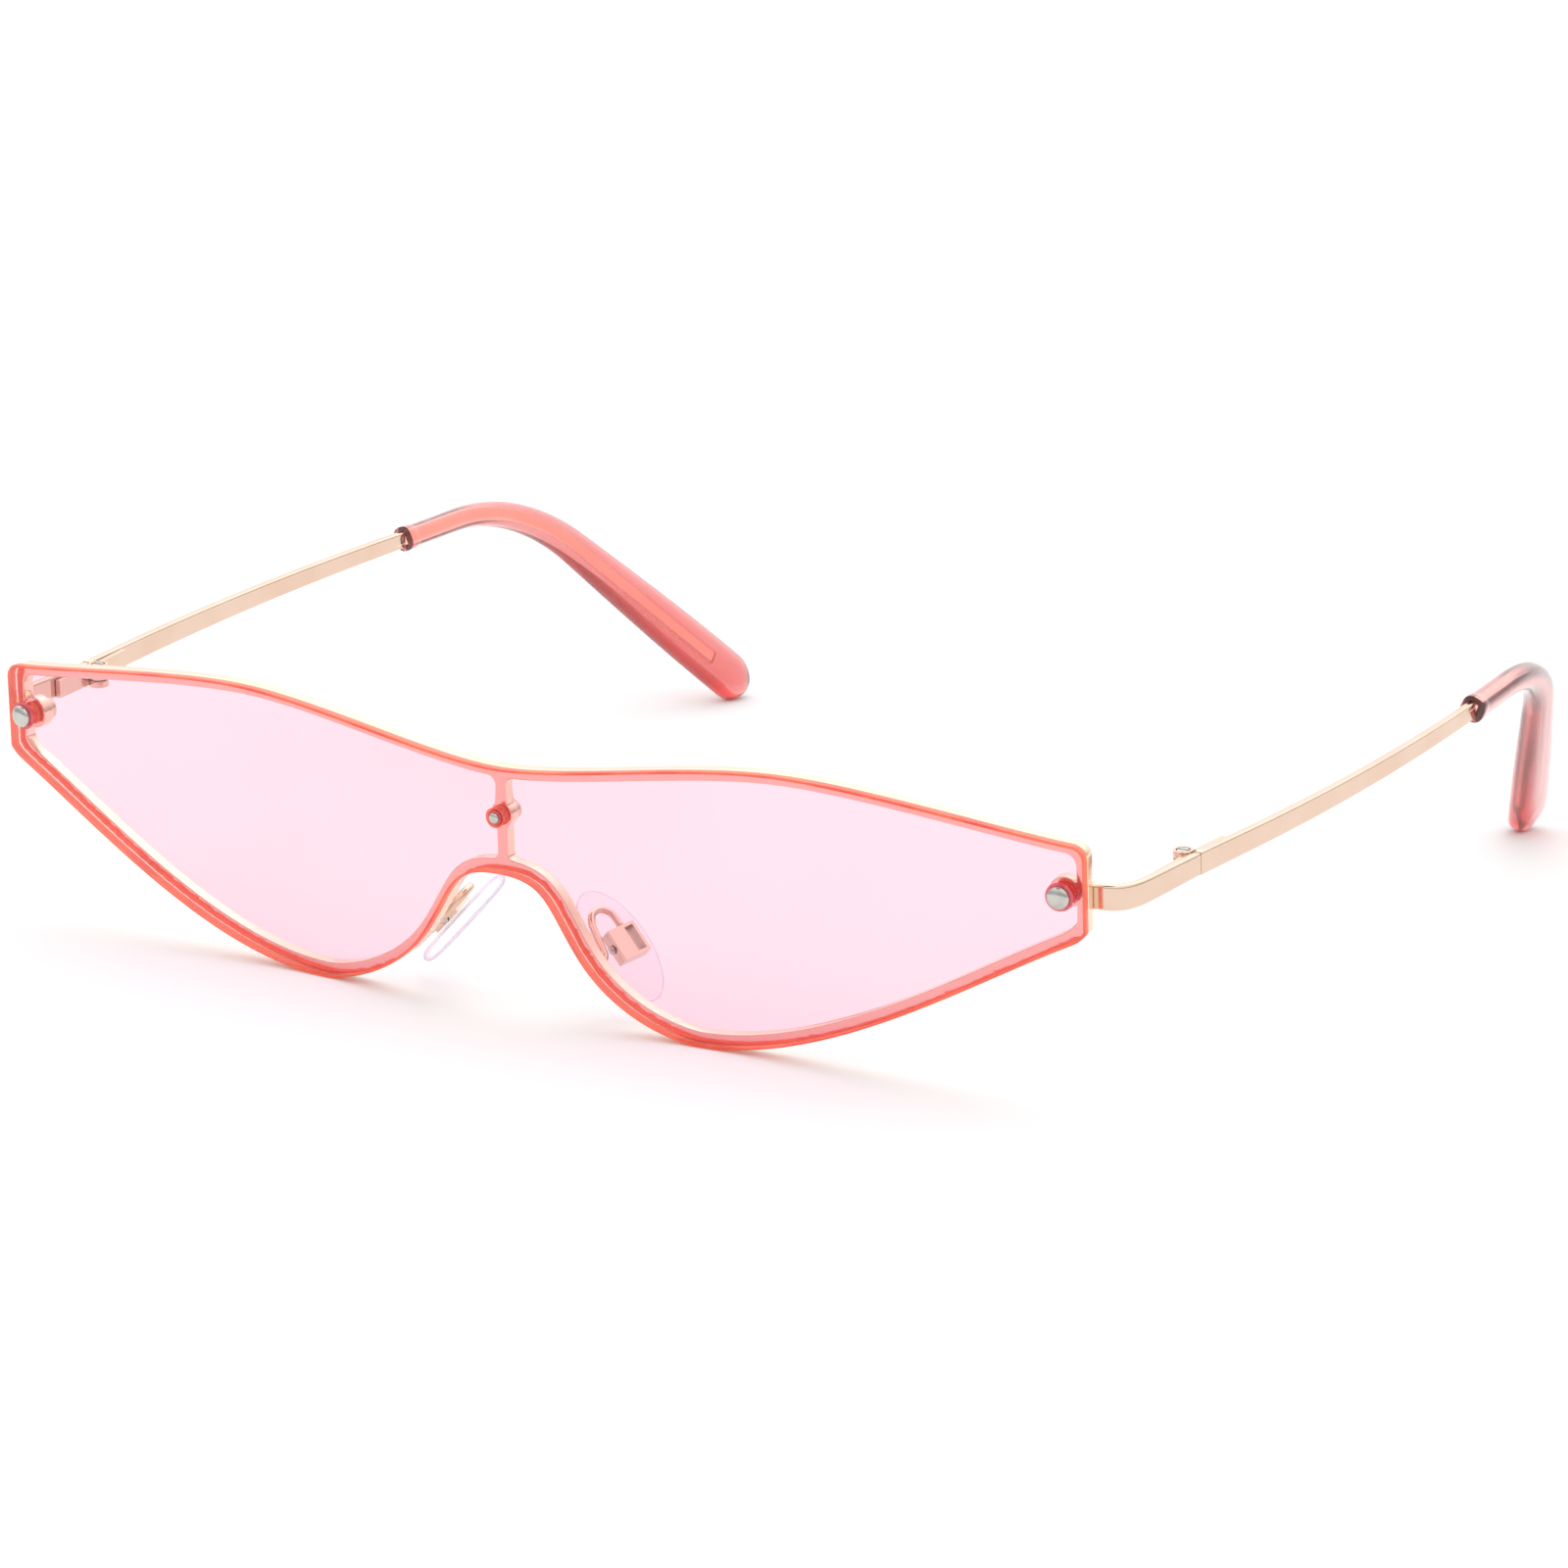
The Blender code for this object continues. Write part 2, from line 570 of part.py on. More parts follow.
def add_lens_pins(assembly):
    """Each pin, the bush that centres it in the lens, and the nut behind the frame."""
    nut_face = -(LENS_THICKNESS + RIM_GAP + RIM_THICKNESS + FIT)
    for name, x, head, height, shank, bush in pin_places():
        place = pin_frame(x)
        flanged = name != "centre"
        seat = FLANGE_THICKNESS + FIT if flanged else 0.0
        shank_end = nut_face - NUT_LENGTH - FIT
        base, rim = seat + FIT, HEAD_RIM_SHARE * height
        profile = [*dome(head / 2, base + rim, height - rim), (0, shank_end)]
        profile += [(shank / 2, shank_end), (shank / 2, base), (head / 2, base)]
        assembly.add(f"lens_pin_{name}", turned(profile, place), STEEL)
        bore = shank / 2 + FIT
        sleeve = [(bush / 2, -LENS_THICKNESS), (bore, -LENS_THICKNESS)]
        if flanged:
            flange = SIDE_FLANGE_DIAMETER / 2
            sleeve += [(bore, seat), (flange, seat), (flange, FIT), (bush / 2, FIT)]
        else:
            sleeve += [(bore, 0.0), (bush / 2, 0.0)]
        assembly.add(f"lens_bush_{name}", turned(sleeve, place), BUSH_PINK)
        outer = shank / 2 + NUT_WALL
        far = nut_face - NUT_LENGTH
        nut = [(outer, nut_face), (outer, far + NUT_CHAMFER), (outer - NUT_CHAMFER, far)]
        nut += [(bore, far), (bore, nut_face)]
        assembly.add(f"lens_nut_{name}", turned(nut, place), GOLD)


# ---------------------------------------------------------------- end pieces and hinges


def strip_ring(point, across, half_thickness, half_height):
    """Four corners of an upright strip's section."""
    up = Vector((0, 0, half_height))
    side = across * half_thickness
    return [point - side - up, point + side - up, point + side + up, point - side + up]


def endpiece_path():
    """The end piece's middle line in plan, from behind the rim round to the hinge."""
    back = LENS_THICKNESS + RIM_GAP + RIM_THICKNESS + SOLDER_GAP + ARM_THICKNESS / 2
    nut_edge = SIDE_PIN_X + SIDE_SHANK_DIAMETER / 2 + NUT_WALL
    start = on_lens(nut_edge + 2 * FIT, back, 0.0)
    bend = on_lens(LENS_HALF_WIDTH + ENDPIECE_BEND_X, back, 0.0)
    end = Vector((ARM_X, HINGE_Y - HINGE_SEAM / 2, 0.0))
    turn_end = Vector((ARM_X, bend.y + ENDPIECE_BEND_DEPTH, 0.0))
    near, far = ENDPIECE_BEND_REACH
    bend_handle = bend + (bend - start).normalized() * near
    turn_handle = turn_end - Vector((0, far, 0))
    curve = interpolate_bezier(bend, bend_handle, turn_handle, turn_end, BEND_STEPS)
    return [start, *curve, end]


def add_endpiece(assembly, side, name):
    path = endpiece_path()
    rings = []
    for index, point in enumerate(path):
        ahead = path[min(index + 1, len(path) - 1)] - path[max(index - 1, 0)]
        across = ahead.normalized().cross(Vector((0, 0, 1)))
        share = (point.y - path[0].y) / (path[-1].y - path[0].y)
        height = ENDPIECE_HEIGHT + (ARM_HEIGHT_FRONT - ENDPIECE_HEIGHT) * share
        middle = point + Vector((0, 0, ENDPIECE_Z + (ARM_Z - ENDPIECE_Z) * share))
        rings.append(strip_ring(middle, across, ARM_THICKNESS / 2, height / 2))
    assembly.add(f"endpiece_{name}", sided(loft(rings), side), GOLD)


def hinge_axis():
    """The right-hand hinge's axis: its barrel just clears the arm's inner face."""
    inner_face = ARM_X - ARM_THICKNESS / 2
    return Vector((inner_face - SOLDER_GAP - BARREL_DIAMETER / 2, HINGE_Y, ARM_Z))


def leaf_plate(y_from, y_to):
    """The leaf's flat plate, tangent to the barrel on the side of the arm."""
    axis = hinge_axis()
    x = axis.x + BARREL_DIAMETER / 2 - LEAF_THICKNESS / 2
    size = (LEAF_THICKNESS, abs(y_to - y_from), LEAF_HEIGHT)
    return block(size, Matrix.Translation((x, axis.y + (y_from + y_to) / 2, ARM_Z)))


def on_barrel(low, high, diameter):
    """A cylinder on the hinge's axis, between two heights above the barrel's middle."""
    axis = hinge_axis()
    up = Vector((0, 0, 1))
    return cylinder(axis + up * low, axis + up * high, diameter)


def outer_knuckle_heights():
    """(near, far) ends of an outer knuckle, from the barrel's middle."""
    near = KNUCKLE_HEIGHT / 2 + KNUCKLE_GAP
    return near, near + KNUCKLE_HEIGHT


def add_front_leaf(assembly, side, name):
    """The leaf on the end piece, with a knuckle above and below the temple's one."""
    near, far = outer_knuckle_heights()
    plate_mesh = sided(leaf_plate(-LEAF_LENGTH, -LEAF_START), side)
    leaf = assembly.add(f"hinge_front_leaf_{name}", plate_mesh, GOLD)
    for number, (low, high) in enumerate(((-far, -near), (near, far))):
        knuckle = sided(on_barrel(low, high, BARREL_DIAMETER), side)
        assembly.cut(leaf, f"front_knuckle_{name}_{number}", knuckle, "UNION")
    room = BARREL_DIAMETER + 2 * FIT
    gap = block((room + FIT, room, 2 * near), Matrix.Translation(hinge_axis()))
    assembly.cut(leaf, f"front_knuckle_gap_{name}", sided(gap, side))
    bore = on_barrel(-far - OVERCUT, far + OVERCUT, HINGE_SCREW_DIAMETER + 2 * FIT)
    assembly.cut(leaf, f"front_bore_{name}", sided(bore, side))
    seat = far - HINGE_HEAD_HEIGHT - FIT
    recess = on_barrel(seat, far + OVERCUT, HINGE_HEAD_DIAMETER + 2 * FIT)
    assembly.cut(leaf, f"screw_recess_{name}", sided(recess, side))


def add_temple_leaf(assembly, side, name, pivot):
    """The leaf on the temple arm, with the middle knuckle."""
    near, far = outer_knuckle_heights()
    plate_mesh = sided(leaf_plate(LEAF_START, LEAF_LENGTH), side)
    leaf = assembly.add(f"hinge_temple_leaf_{name}", plate_mesh, GOLD, pivot)
    room = BARREL_DIAMETER + 2 * FIT
    middle = KNUCKLE_HEIGHT / 2
    depth = far + OVERCUT - middle
    for number, sign in enumerate((-1, 1)):
        centre = hinge_axis() + Vector((0, 0, sign * (middle + depth / 2)))
        relief = block((room + FIT, room, depth), Matrix.Translation(centre))
        assembly.cut(leaf, f"temple_knuckle_gap_{name}_{number}", sided(relief, side))
    knuckle = sided(on_barrel(-middle, middle, BARREL_DIAMETER), side)
    assembly.cut(leaf, f"temple_knuckle_{name}", knuckle, "UNION")
    bore = on_barrel(-far, far, HINGE_SCREW_DIAMETER + 2 * FIT)
    assembly.cut(leaf, f"temple_bore_{name}", sided(bore, side))


def add_hinge_screw(assembly, side, name):
    """The slotted screw through the knuckles, its head sunk flush with the top one."""
    _, far = outer_knuckle_heights()
    base = far - HINGE_HEAD_HEIGHT
    head, shank, edge = HINGE_HEAD_DIAMETER / 2, HINGE_SCREW_DIAMETER / 2, HEAD_CHAMFER
    profile = [(0, far), (0, -far), (shank, -far), (shank, base)]
    profile += [(head, base), (head, far - edge), (head - edge, far)]
    mesh = turned(profile, Matrix.Translation(hinge_axis()))
    screw = assembly.add(f"hinge_screw_{name}", sided(mesh, side), STEEL)
    top = hinge_axis() + Vector((0, 0, far))
    slot = block((2 * HINGE_HEAD_DIAMETER, SLOT_WIDTH, 2 * SLOT_DEPTH), Matrix.Translation(top))
    assembly.cut(screw, f"screw_slot_{name}", sided(slot, side))


# ---------------------------------------------------------------- temples


def arm_place(length):
    """(middle of the arm, its direction) at a length behind its front end, with the hinge unturned."""
    front = Vector((ARM_X, HINGE_Y + HINGE_SEAM / 2, 0))
    radius = (ARM_LENGTH - ARM_STRAIGHT) / ARM_BOW
    turn = max(length - ARM_STRAIGHT, 0.0) / radius
    forward = min(length, ARM_STRAIGHT) + radius * math.sin(turn)
    share = length / ARM_LENGTH
    height = ARM_Z + (SLEEVE_START_Z - ARM_Z) * share
    point = front + Vector((-radius * (1 - math.cos(turn)), forward, height))
    return point, Vector((-math.sin(turn), math.cos(turn), 0))


def ear_point(length):
    """(point, direction, in-plane normal) at a length behind the sleeve's mouth."""
    start, back = arm_place(ARM_LENGTH)
    outward = back.cross(Vector((0, 0, 1)))
    drop = -outward * math.sin(EAR_PLANE_TILT) - Vector((0, 0, math.cos(EAR_PLANE_TILT)))
    bend = min(max(length - SLEEVE_STRAIGHT, 0.0) / EAR_BEND_RADIUS, EAR_BEND_ANGLE)
    point = start + back * (min(length, SLEEVE_STRAIGHT) + EAR_BEND_RADIUS * math.sin(bend))
    point += drop * EAR_BEND_RADIUS * (1 - math.cos(bend))
    along = back * math.cos(bend) + drop * math.sin(bend)
    rest = length - SLEEVE_STRAIGHT - EAR_BEND_RADIUS * EAR_BEND_ANGLE
    if rest > 0:
        point += along * rest
    return point, along, drop * math.cos(bend) - back * math.sin(bend)


def tip_length():
    return SLEEVE_STRAIGHT + EAR_BEND_RADIUS * EAR_BEND_ANGLE + TIP_STRAIGHT


def oval_ring(length, breadth, thickness, segments=TIP_SEGMENTS):
    """A rounded section of the tip, broad in the plane of the ear bend."""
    point, along, inward = ear_point(length)
    side = along.cross(inward)
    ring = []
    for k in range(segments):
        angle = 2 * math.pi * (k + 0.5) / segments
        u, v = math.cos(angle), math.sin(angle)
        u, v = (math.copysign(abs(w) ** (2 / TIP_SQUARENESS), w) for w in (u, v))
        ring.append(point + inward * u * breadth / 2 + side * v * thickness / 2)
    return ring


def swell(share):
    """How far a tip has grown from its slim start to its paddle, from 0 to 1."""
    share = min(max((share - SWELL_START) / (SWELL_END - SWELL_START), 0.0), 1.0)
    return share * share * (3 - 2 * share)


def tip_mesh():
    """The sleeve: a collar at its mouth, a slim shaft, and a paddle that closes in a round end."""
    total = tip_length()
    collar = (TIP_BREADTH_START + 2 * COLLAR_PROUD, TIP_THICKNESS_START + 2 * COLLAR_PROUD)
    rings = [oval_ring(length, *collar) for length in (0.0, COLLAR_LENGTH)]
    body = np.linspace(COLLAR_LENGTH + COLLAR_STEP, total - TIP_BREADTH_END / 2, TIP_RINGS)
    for length in body:
        grown = swell(length / total)
        breadth = TIP_BREADTH_START + (TIP_BREADTH_END - TIP_BREADTH_START) * grown
        thickness = TIP_THICKNESS_START + (TIP_THICKNESS_END - TIP_THICKNESS_START) * grown
        rings.append(oval_ring(length, breadth, thickness))
    for angle in np.radians(TIP_END_ANGLES):
        length = total - TIP_BREADTH_END / 2 * (1 - math.sin(angle))
        close = math.cos(angle)
        rings.append(oval_ring(length, breadth * close, thickness * math.sqrt(close)))
    return loft(rings)


def core_rings(breadth, thickness, start, end):
    """Square-cornered sections of the metal core, as it runs down the tip."""
    rings = []
    for length in np.linspace(start, end, CORE_RINGS):
        point, along, inward = ear_point(length)
        half, deep = along.cross(inward) * thickness / 2, inward * breadth / 2
        near, far = point - deep, point + deep
        rings.append([near - half, near + half, far + half, far - half])
    return rings


def arm_mesh():
    """The arm from the hinge to the sleeve's mouth, in flats that follow its bow."""
    rings = []
    steps = np.linspace(ARM_STRAIGHT, ARM_LENGTH - CORE_FIT, ARM_FLATS)
    for length in (0.0, *steps):
        point, along = arm_place(length)
        height = ARM_HEIGHT_FRONT + (ARM_HEIGHT_BACK - ARM_HEIGHT_FRONT) * length / ARM_LENGTH
        across = along.cross(Vector((0, 0, 1)))
        rings.append(strip_ring(point, across, ARM_THICKNESS / 2, height / 2))
    return loft(rings)


def add_temple(assembly, side, name, pivot):
    """The metal arm, whose thin core runs down inside the sleeve, and the sleeve round it."""
    core_end = tip_length() - CORE_END_MARGIN
    arm = assembly.add(f"temple_arm_{name}", sided(arm_mesh(), side), GOLD, pivot)
    core = loft(core_rings(CORE_BREADTH, CORE_THICKNESS, -CORE_ROOT, core_end))
    assembly.cut(arm, f"core_{name}", sided(core, side), "UNION")
    tip = assembly.add(f"temple_tip_{name}", sided(tip_mesh(), side), TIP_PINK, pivot)
    breadth, thickness = CORE_BREADTH + 2 * CORE_FIT, CORE_THICKNESS + 2 * CORE_FIT
    channel = loft(core_rings(breadth, thickness, -CORE_ROOT, core_end + CORE_FIT))
    assembly.cut(tip, f"core_channel_{name}", sided(channel, side))


# ---------------------------------------------------------------- nose pads


def pad_frame():
    """The right-hand pad's own frame: X along the pad, Y rearward across it, Z away from the nose."""
    long_axis = PAD_LONG_AXIS
    outward = long_axis.cross(PAD_REARWARD).normalized()
    across = outward.cross(long_axis)
    turn = Matrix((long_axis, across, outward)).transposed()
    depth = LENS_THICKNESS + RIM_GAP + RIM_THICKNESS + PAD_SETBACK
    return Matrix.Translation((PAD_CENTRE_X, depth, PAD_CENTRE_Z)) @ turn.to_4x4()


def pad_pivot():
    """The frame of the pad screw: its axis lies along Y, through the lug."""
    rise = PAD_THICKNESS / 2 + PAD_SCREW_RISE
    return pad_frame() @ Matrix.Translation((BOX_ALONG, lug_across(), rise))


def box_front():
    return BOX_ACROSS - BOX_BREADTH / 2


def lug_across():
    """The lug's middle, across the pad: it fills the box's front pocket."""
    return box_front() + BOX_WALL + FIT + LUG_BREADTH / 2


def pad_block(low, high):
    """A block in the right-hand pad's frame, between two corners."""
    low, high = Vector(low), Vector(high)
    return block(high - low, pad_frame() @ Matrix.Translation((low + high) / 2))


def pad_mesh():
    """An oval cushion with rounded edges, turned and then stretched along the pad."""
    half = PAD_THICKNESS / 2
    radius = PAD_BREADTH / 2
    roll = [math.pi / 2 - math.pi * k / PAD_EDGE_STEPS for k in range(PAD_EDGE_STEPS + 1)]
    profile = [(0, half)]
    profile += [(radius - half + half * math.cos(a), half * math.sin(a)) for a in roll]
    profile += [(0, -half)]
    stretch = Matrix.Diagonal((PAD_LENGTH / PAD_BREADTH, 1, 1, 1))
    return turned(profile, pad_frame() @ stretch, PAD_SEGMENTS)


def pad_screw_bore(reach):
    place = pad_pivot()
    start, end = (place @ Vector((0, y, 0)) for y in (-reach, reach))
    return cylinder(start, end, PAD_SCREW_DIAMETER + 2 * FIT, SMALL_SEGMENTS)


def add_nose_pad(assembly, side, name, pivot):
    """The oval cushion and the lug on its back that the pad screw passes through."""
    pad = assembly.add(f"nose_pad_{name}", sided(pad_mesh(), side), CLEAR, pivot)
    surface = PAD_THICKNESS / 2
    half, across = LUG_LENGTH / 2, lug_across()
    lug = pad_block(
        (BOX_ALONG - half, across - LUG_BREADTH / 2, surface - LUG_ROOT),
        (BOX_ALONG + half, across + LUG_BREADTH / 2, surface + LUG_DEPTH),
    )
    assembly.cut(pad, f"pad_lug_{name}", sided(lug, side), "UNION")
    assembly.cut(pad, f"pad_bore_{name}", sided(pad_screw_bore(LUG_BREADTH), side))


def add_pad_box(assembly, side, name):
    """A clip in two halves: a roofed pocket that holds the lug, and an open window behind it."""
    front, back = box_front(), box_front() + BOX_BREADTH
    left, right = BOX_ALONG - BOX_LENGTH / 2, BOX_ALONG + BOX_LENGTH / 2
    low = PAD_THICKNESS / 2 + PAD_ROCK_ROOM
    high = low + BOX_HEIGHT
    body = pad_block((left, front, low), (right, back, high))
    box = assembly.add(f"pad_box_{name}", sided(body, side), GOLD)
    wall = BOX_WALL
    pocket_back = lug_across() + LUG_BREADTH / 2 + FIT
    room = LUG_LENGTH / 2 + PAD_ROCK_ROOM
    pocket = pad_block(
        (BOX_ALONG - room, front + wall, low - OVERCUT),
        (BOX_ALONG + room, pocket_back, high - wall),
    )
    assembly.cut(box, f"lug_pocket_{name}", sided(pocket, side))
    window = pad_block(
        (left + wall, pocket_back + wall, low - OVERCUT),
        (right - wall, back - wall, high + OVERCUT),
    )
    assembly.cut(box, f"box_window_{name}", sided(window, side))
    bore_end = pocket_back + wall - lug_across()
    assembly.cut(box, f"box_bore_{name}", sided(pad_screw_bore(bore_end + FIT), side))
    add_pad_screw(assembly, side, name, lug_across() - front, bore_end - FIT)


def add_pad_screw(assembly, side, name, head_side, thread_side):
    """A round-headed screw across the pocket and the lug, its head at the front."""
    place = pad_pivot() @ Matrix.Rotation(math.pi / 2, 4, "X")  # its Z axis now points forwards
    head, shank = PAD_SCREW_HEAD / 2, PAD_SCREW_DIAMETER / 2
    seat = head_side + FIT
    profile = [*dome(head, seat + PAD_SCREW_HEAD_RIM, PAD_SCREW_DOME, 3), (0, -thread_side)]
    profile += [(shank, -thread_side), (shank, seat), (head, seat)]
    mesh = turned(profile, place, SMALL_SEGMENTS)
    assembly.add(f"pad_screw_{name}", sided(mesh, side), STEEL)


def pad_arm_route():
    """The wire in the pad's frame: off the rim's back, up in a hook, and down to the box's end."""
    frame = pad_frame()
    rise = PAD_THICKNESS / 2 + PAD_WIRE_RISE
    box_end = BOX_ALONG - BOX_LENGTH / 2
    route = [frame @ Vector((along * MM, across * MM, rise)) for along, across in WIRE_HOOK]
    route.append(frame @ Vector((box_end - SOLDER_GAP, WIRE_LANDING, rise)))
    behind_rim = LENS_THICKNESS + RIM_GAP + RIM_THICKNESS + SOLDER_GAP
    root = route[0].copy()
    root.y = on_lens(root.x, behind_rim, 0).y
    return smooth([root, *route])


def smooth(points, steps=6):
    """Points along a smooth curve through the given ones."""
    padded = [2 * points[0] - points[1], *points, 2 * points[-1] - points[-2]]
    route = []
    for before, start, end, after in zip(padded, padded[1:], padded[2:], padded[3:]):
        leaving, arriving = start + (end - before) / 6, end - (after - start) / 6
        route += interpolate_bezier(start, leaving, arriving, end, steps + 1)[:-1]
    return [*route, points[-1]]


def wire_mesh(route, diameter):
    curve = bpy.data.curves.new("wire", "CURVE")
    curve.dimensions = "3D"
    curve.bevel_depth = diameter / 2
    curve.bevel_resolution = 2
    curve.use_fill_caps = True
    spline = curve.splines.new("POLY")
    spline.points.add(len(route) - 1)
    for point, place in zip(spline.points, route):
        point.co = (*place, 1.0)
    return welded(evaluated_mesh(bpy.data.objects.new("wire", curve)))


def add_pad_arm(assembly, side, name):
    mesh = wire_mesh(pad_arm_route(), PAD_WIRE_DIAMETER)
    assembly.add(f"pad_arm_{name}", sided(mesh, side), GOLD)


# ---------------------------------------------------------------- assembly


def mirror_place(matrix, side):
    """A pivot's frame on its own side of the middle plane."""
    if side > 0:
        return matrix
    flip = Matrix.Diagonal((-1, 1, 1, 1))
    return flip @ matrix @ flip


def world_points(obj):
    graph = bpy.context.evaluated_depsgraph_get()
    evaluated = obj.evaluated_get(graph)
    mesh = evaluated.to_mesh()
    flat = np.empty(len(mesh.vertices) * 3, np.float32)
    mesh.vertices.foreach_get("co", flat)
    evaluated.to_mesh_clear()
    world = np.array(evaluated.matrix_world)
    return flat.reshape(-1, 3) @ world[:3, :3].T + world[:3, 3]


def settle(assembly):
    """Leans the assembly until lens and tips stand on z = 0, and centres it over the origin."""
    bpy.context.view_layer.update()
    solids = [obj for obj in assembly.parts.objects if obj.type == "MESH"]
    points = {obj.name: world_points(obj) for obj in solids}
    lens = points["shield_lens"]
    tips = points["temple_tip_left"]
    low, high = 0.0, MOST_LEAN
    for _ in range(LEAN_HALVINGS):
        lean = (low + high) / 2
        heights = [(p[:, 1] * math.sin(lean) + p[:, 2] * math.cos(lean)).min() for p in (lens, tips)]
        low, high = (lean, high) if heights[1] < heights[0] else (low, lean)
    turn = Matrix.Rotation(lean, 4, "X")
    every = np.vstack(list(points.values())) @ np.array(turn.to_3x3()).T
    centre = (every.min(axis=0) + every.max(axis=0)) / 2
    shift = Matrix.Translation((-centre[0], -centre[1], -every[:, 2].min()))
    assembly.frame.matrix_world = shift @ turn


def main():
    clear_scene()
    assembly = Assembly()
    add_lens(assembly)
    add_front_frame(assembly)
    add_lens_pins(assembly)
    for side, name in ((-1, "left"), (1, "right")):
        hinge_place = mirror_place(Matrix.Translation(hinge_axis()), side)
        hinge = assembly.pivot(f"hinge_axis_{name}", hinge_place, -side * OPEN_ANGLE)
        rock = assembly.pivot(f"pad_axis_{name}", mirror_place(pad_pivot(), side))
        add_endpiece(assembly, side, name)
        add_front_leaf(assembly, side, name)
        add_temple_leaf(assembly, side, name, hinge)
        add_hinge_screw(assembly, side, name)
        add_temple(assembly, side, name, hinge)
        add_pad_arm(assembly, side, name)
        add_pad_box(assembly, side, name)
        add_nose_pad(assembly, side, name, rock)
    settle(assembly)


main()
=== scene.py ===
"""Cat eye shield sunglasses: the finished pieces, their materials and a plain studio.

Sizes are in metres. Pieces are shaped in the lens frame, which has its origin on the
front of the lens, +X to the right, +Y towards the wearer and +Z up, and are then laid
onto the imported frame, whose joints say where the lens frame is.
"""

import json
import logging
import math
from dataclasses import dataclass
from enum import Enum
from typing import Any, Callable, Optional, Sequence, Union

import bmesh
import bpy
import numpy as np
from mathutils import Matrix, Vector
from mathutils.geometry import interpolate_bezier


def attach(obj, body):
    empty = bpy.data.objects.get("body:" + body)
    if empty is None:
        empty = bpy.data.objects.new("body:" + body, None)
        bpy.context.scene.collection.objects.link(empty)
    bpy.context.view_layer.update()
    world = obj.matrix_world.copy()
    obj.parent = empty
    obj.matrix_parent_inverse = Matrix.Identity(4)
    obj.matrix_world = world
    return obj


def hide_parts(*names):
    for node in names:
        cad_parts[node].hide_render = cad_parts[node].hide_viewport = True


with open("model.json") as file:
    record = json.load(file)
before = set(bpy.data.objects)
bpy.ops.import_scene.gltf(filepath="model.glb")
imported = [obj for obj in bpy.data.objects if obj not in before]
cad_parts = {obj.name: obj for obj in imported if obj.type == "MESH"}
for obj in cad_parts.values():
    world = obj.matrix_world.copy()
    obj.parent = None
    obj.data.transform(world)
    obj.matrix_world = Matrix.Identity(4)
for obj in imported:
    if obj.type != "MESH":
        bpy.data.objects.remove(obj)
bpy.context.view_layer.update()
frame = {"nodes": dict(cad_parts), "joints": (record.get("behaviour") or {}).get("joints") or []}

log = logging.getLogger("sunglasses")

MM = 0.001
UP = Vector((0.0, 0.0, 1.0))
WELD = 1e-7
CAD_WELD = 1e-6
WHITE = (1.0, 1.0, 1.0)
# The right temple's hinge in the lens frame, and how far the glasses lean as they stand
HINGE = Vector((76.2 * MM, 26.4 * MM, 5.2 * MM))
LEAN = math.radians(3.1)

Colour = tuple[float, float, float]
Points = np.ndarray


class Side(Enum):
    """A side of the glasses, by the sign of its X."""

    LEFT = -1
    RIGHT = 1

    @property
    def word(self) -> str:
        """The side's name as the pieces spell it."""
        return self.name.lower()


class Body(Enum):
    """The bodies that pieces ride on."""

    FRONT = "front"
    LEFT_TEMPLE = "left_temple"
    RIGHT_TEMPLE = "right_temple"
    LEFT_PAD = "left_pad"
    RIGHT_PAD = "right_pad"

    @staticmethod
    def temple(side: Side) -> "Body":
        """The temple's body on a side."""
        return Body(f"{side.word}_temple")

    @staticmethod
    def pad(side: Side) -> "Body":
        """The nose pad's body on a side."""
        return Body(f"{side.word}_pad")


class Slot(Enum):
    """The record's material slots."""

    LENS = "tinted_lens"
    GOLD = "champagne_gold"
    STEEL = "polished_steel"
    BUSH = "pink_bush"
    TIP = "red_acetate"
    PAD = "clear_silicone"


# ---------------------------------------------------------------- node trees


class Value:
    """A socket of a shader or geometry tree that Python's operators work on."""

    def __init__(self, nodes: "Nodes", socket: bpy.types.NodeSocket) -> None:
        """Keeps the tree and the socket."""
        self.nodes = nodes
        self.socket = socket

    def _math(self, operation: str, *others: Any) -> "Value":
        """One Math node with this value first."""
        return self.nodes.math(operation, self, *others)

    def __add__(self, other: Any) -> "Value":
        """self + other."""
        return self._math("ADD", other)

    def __sub__(self, other: Any) -> "Value":
        """self - other."""
        return self._math("SUBTRACT", other)

    def __mul__(self, other: Any) -> "Value":
        """self * other."""
        return self._math("MULTIPLY", other)

    def __truediv__(self, other: Any) -> "Value":
        """self / other."""
        return self._math("DIVIDE", other)

    def __mod__(self, other: Any) -> "Value":
        """self % other, for values that aren't negative."""
        return self._math("MODULO", other)

    def __pow__(self, other: Any) -> "Value":
        """self ** other."""
        return self._math("POWER", other)

    def __radd__(self, other: float) -> "Value":
        """other + self."""
        return self.nodes.math("ADD", other, self)

    def __rsub__(self, other: float) -> "Value":
        """other - self."""
        return self.nodes.math("SUBTRACT", other, self)

    def __rmul__(self, other: float) -> "Value":
        """other * self."""
        return self.nodes.math("MULTIPLY", other, self)

    def __rtruediv__(self, other: float) -> "Value":
        """other / self."""
        return self.nodes.math("DIVIDE", other, self)


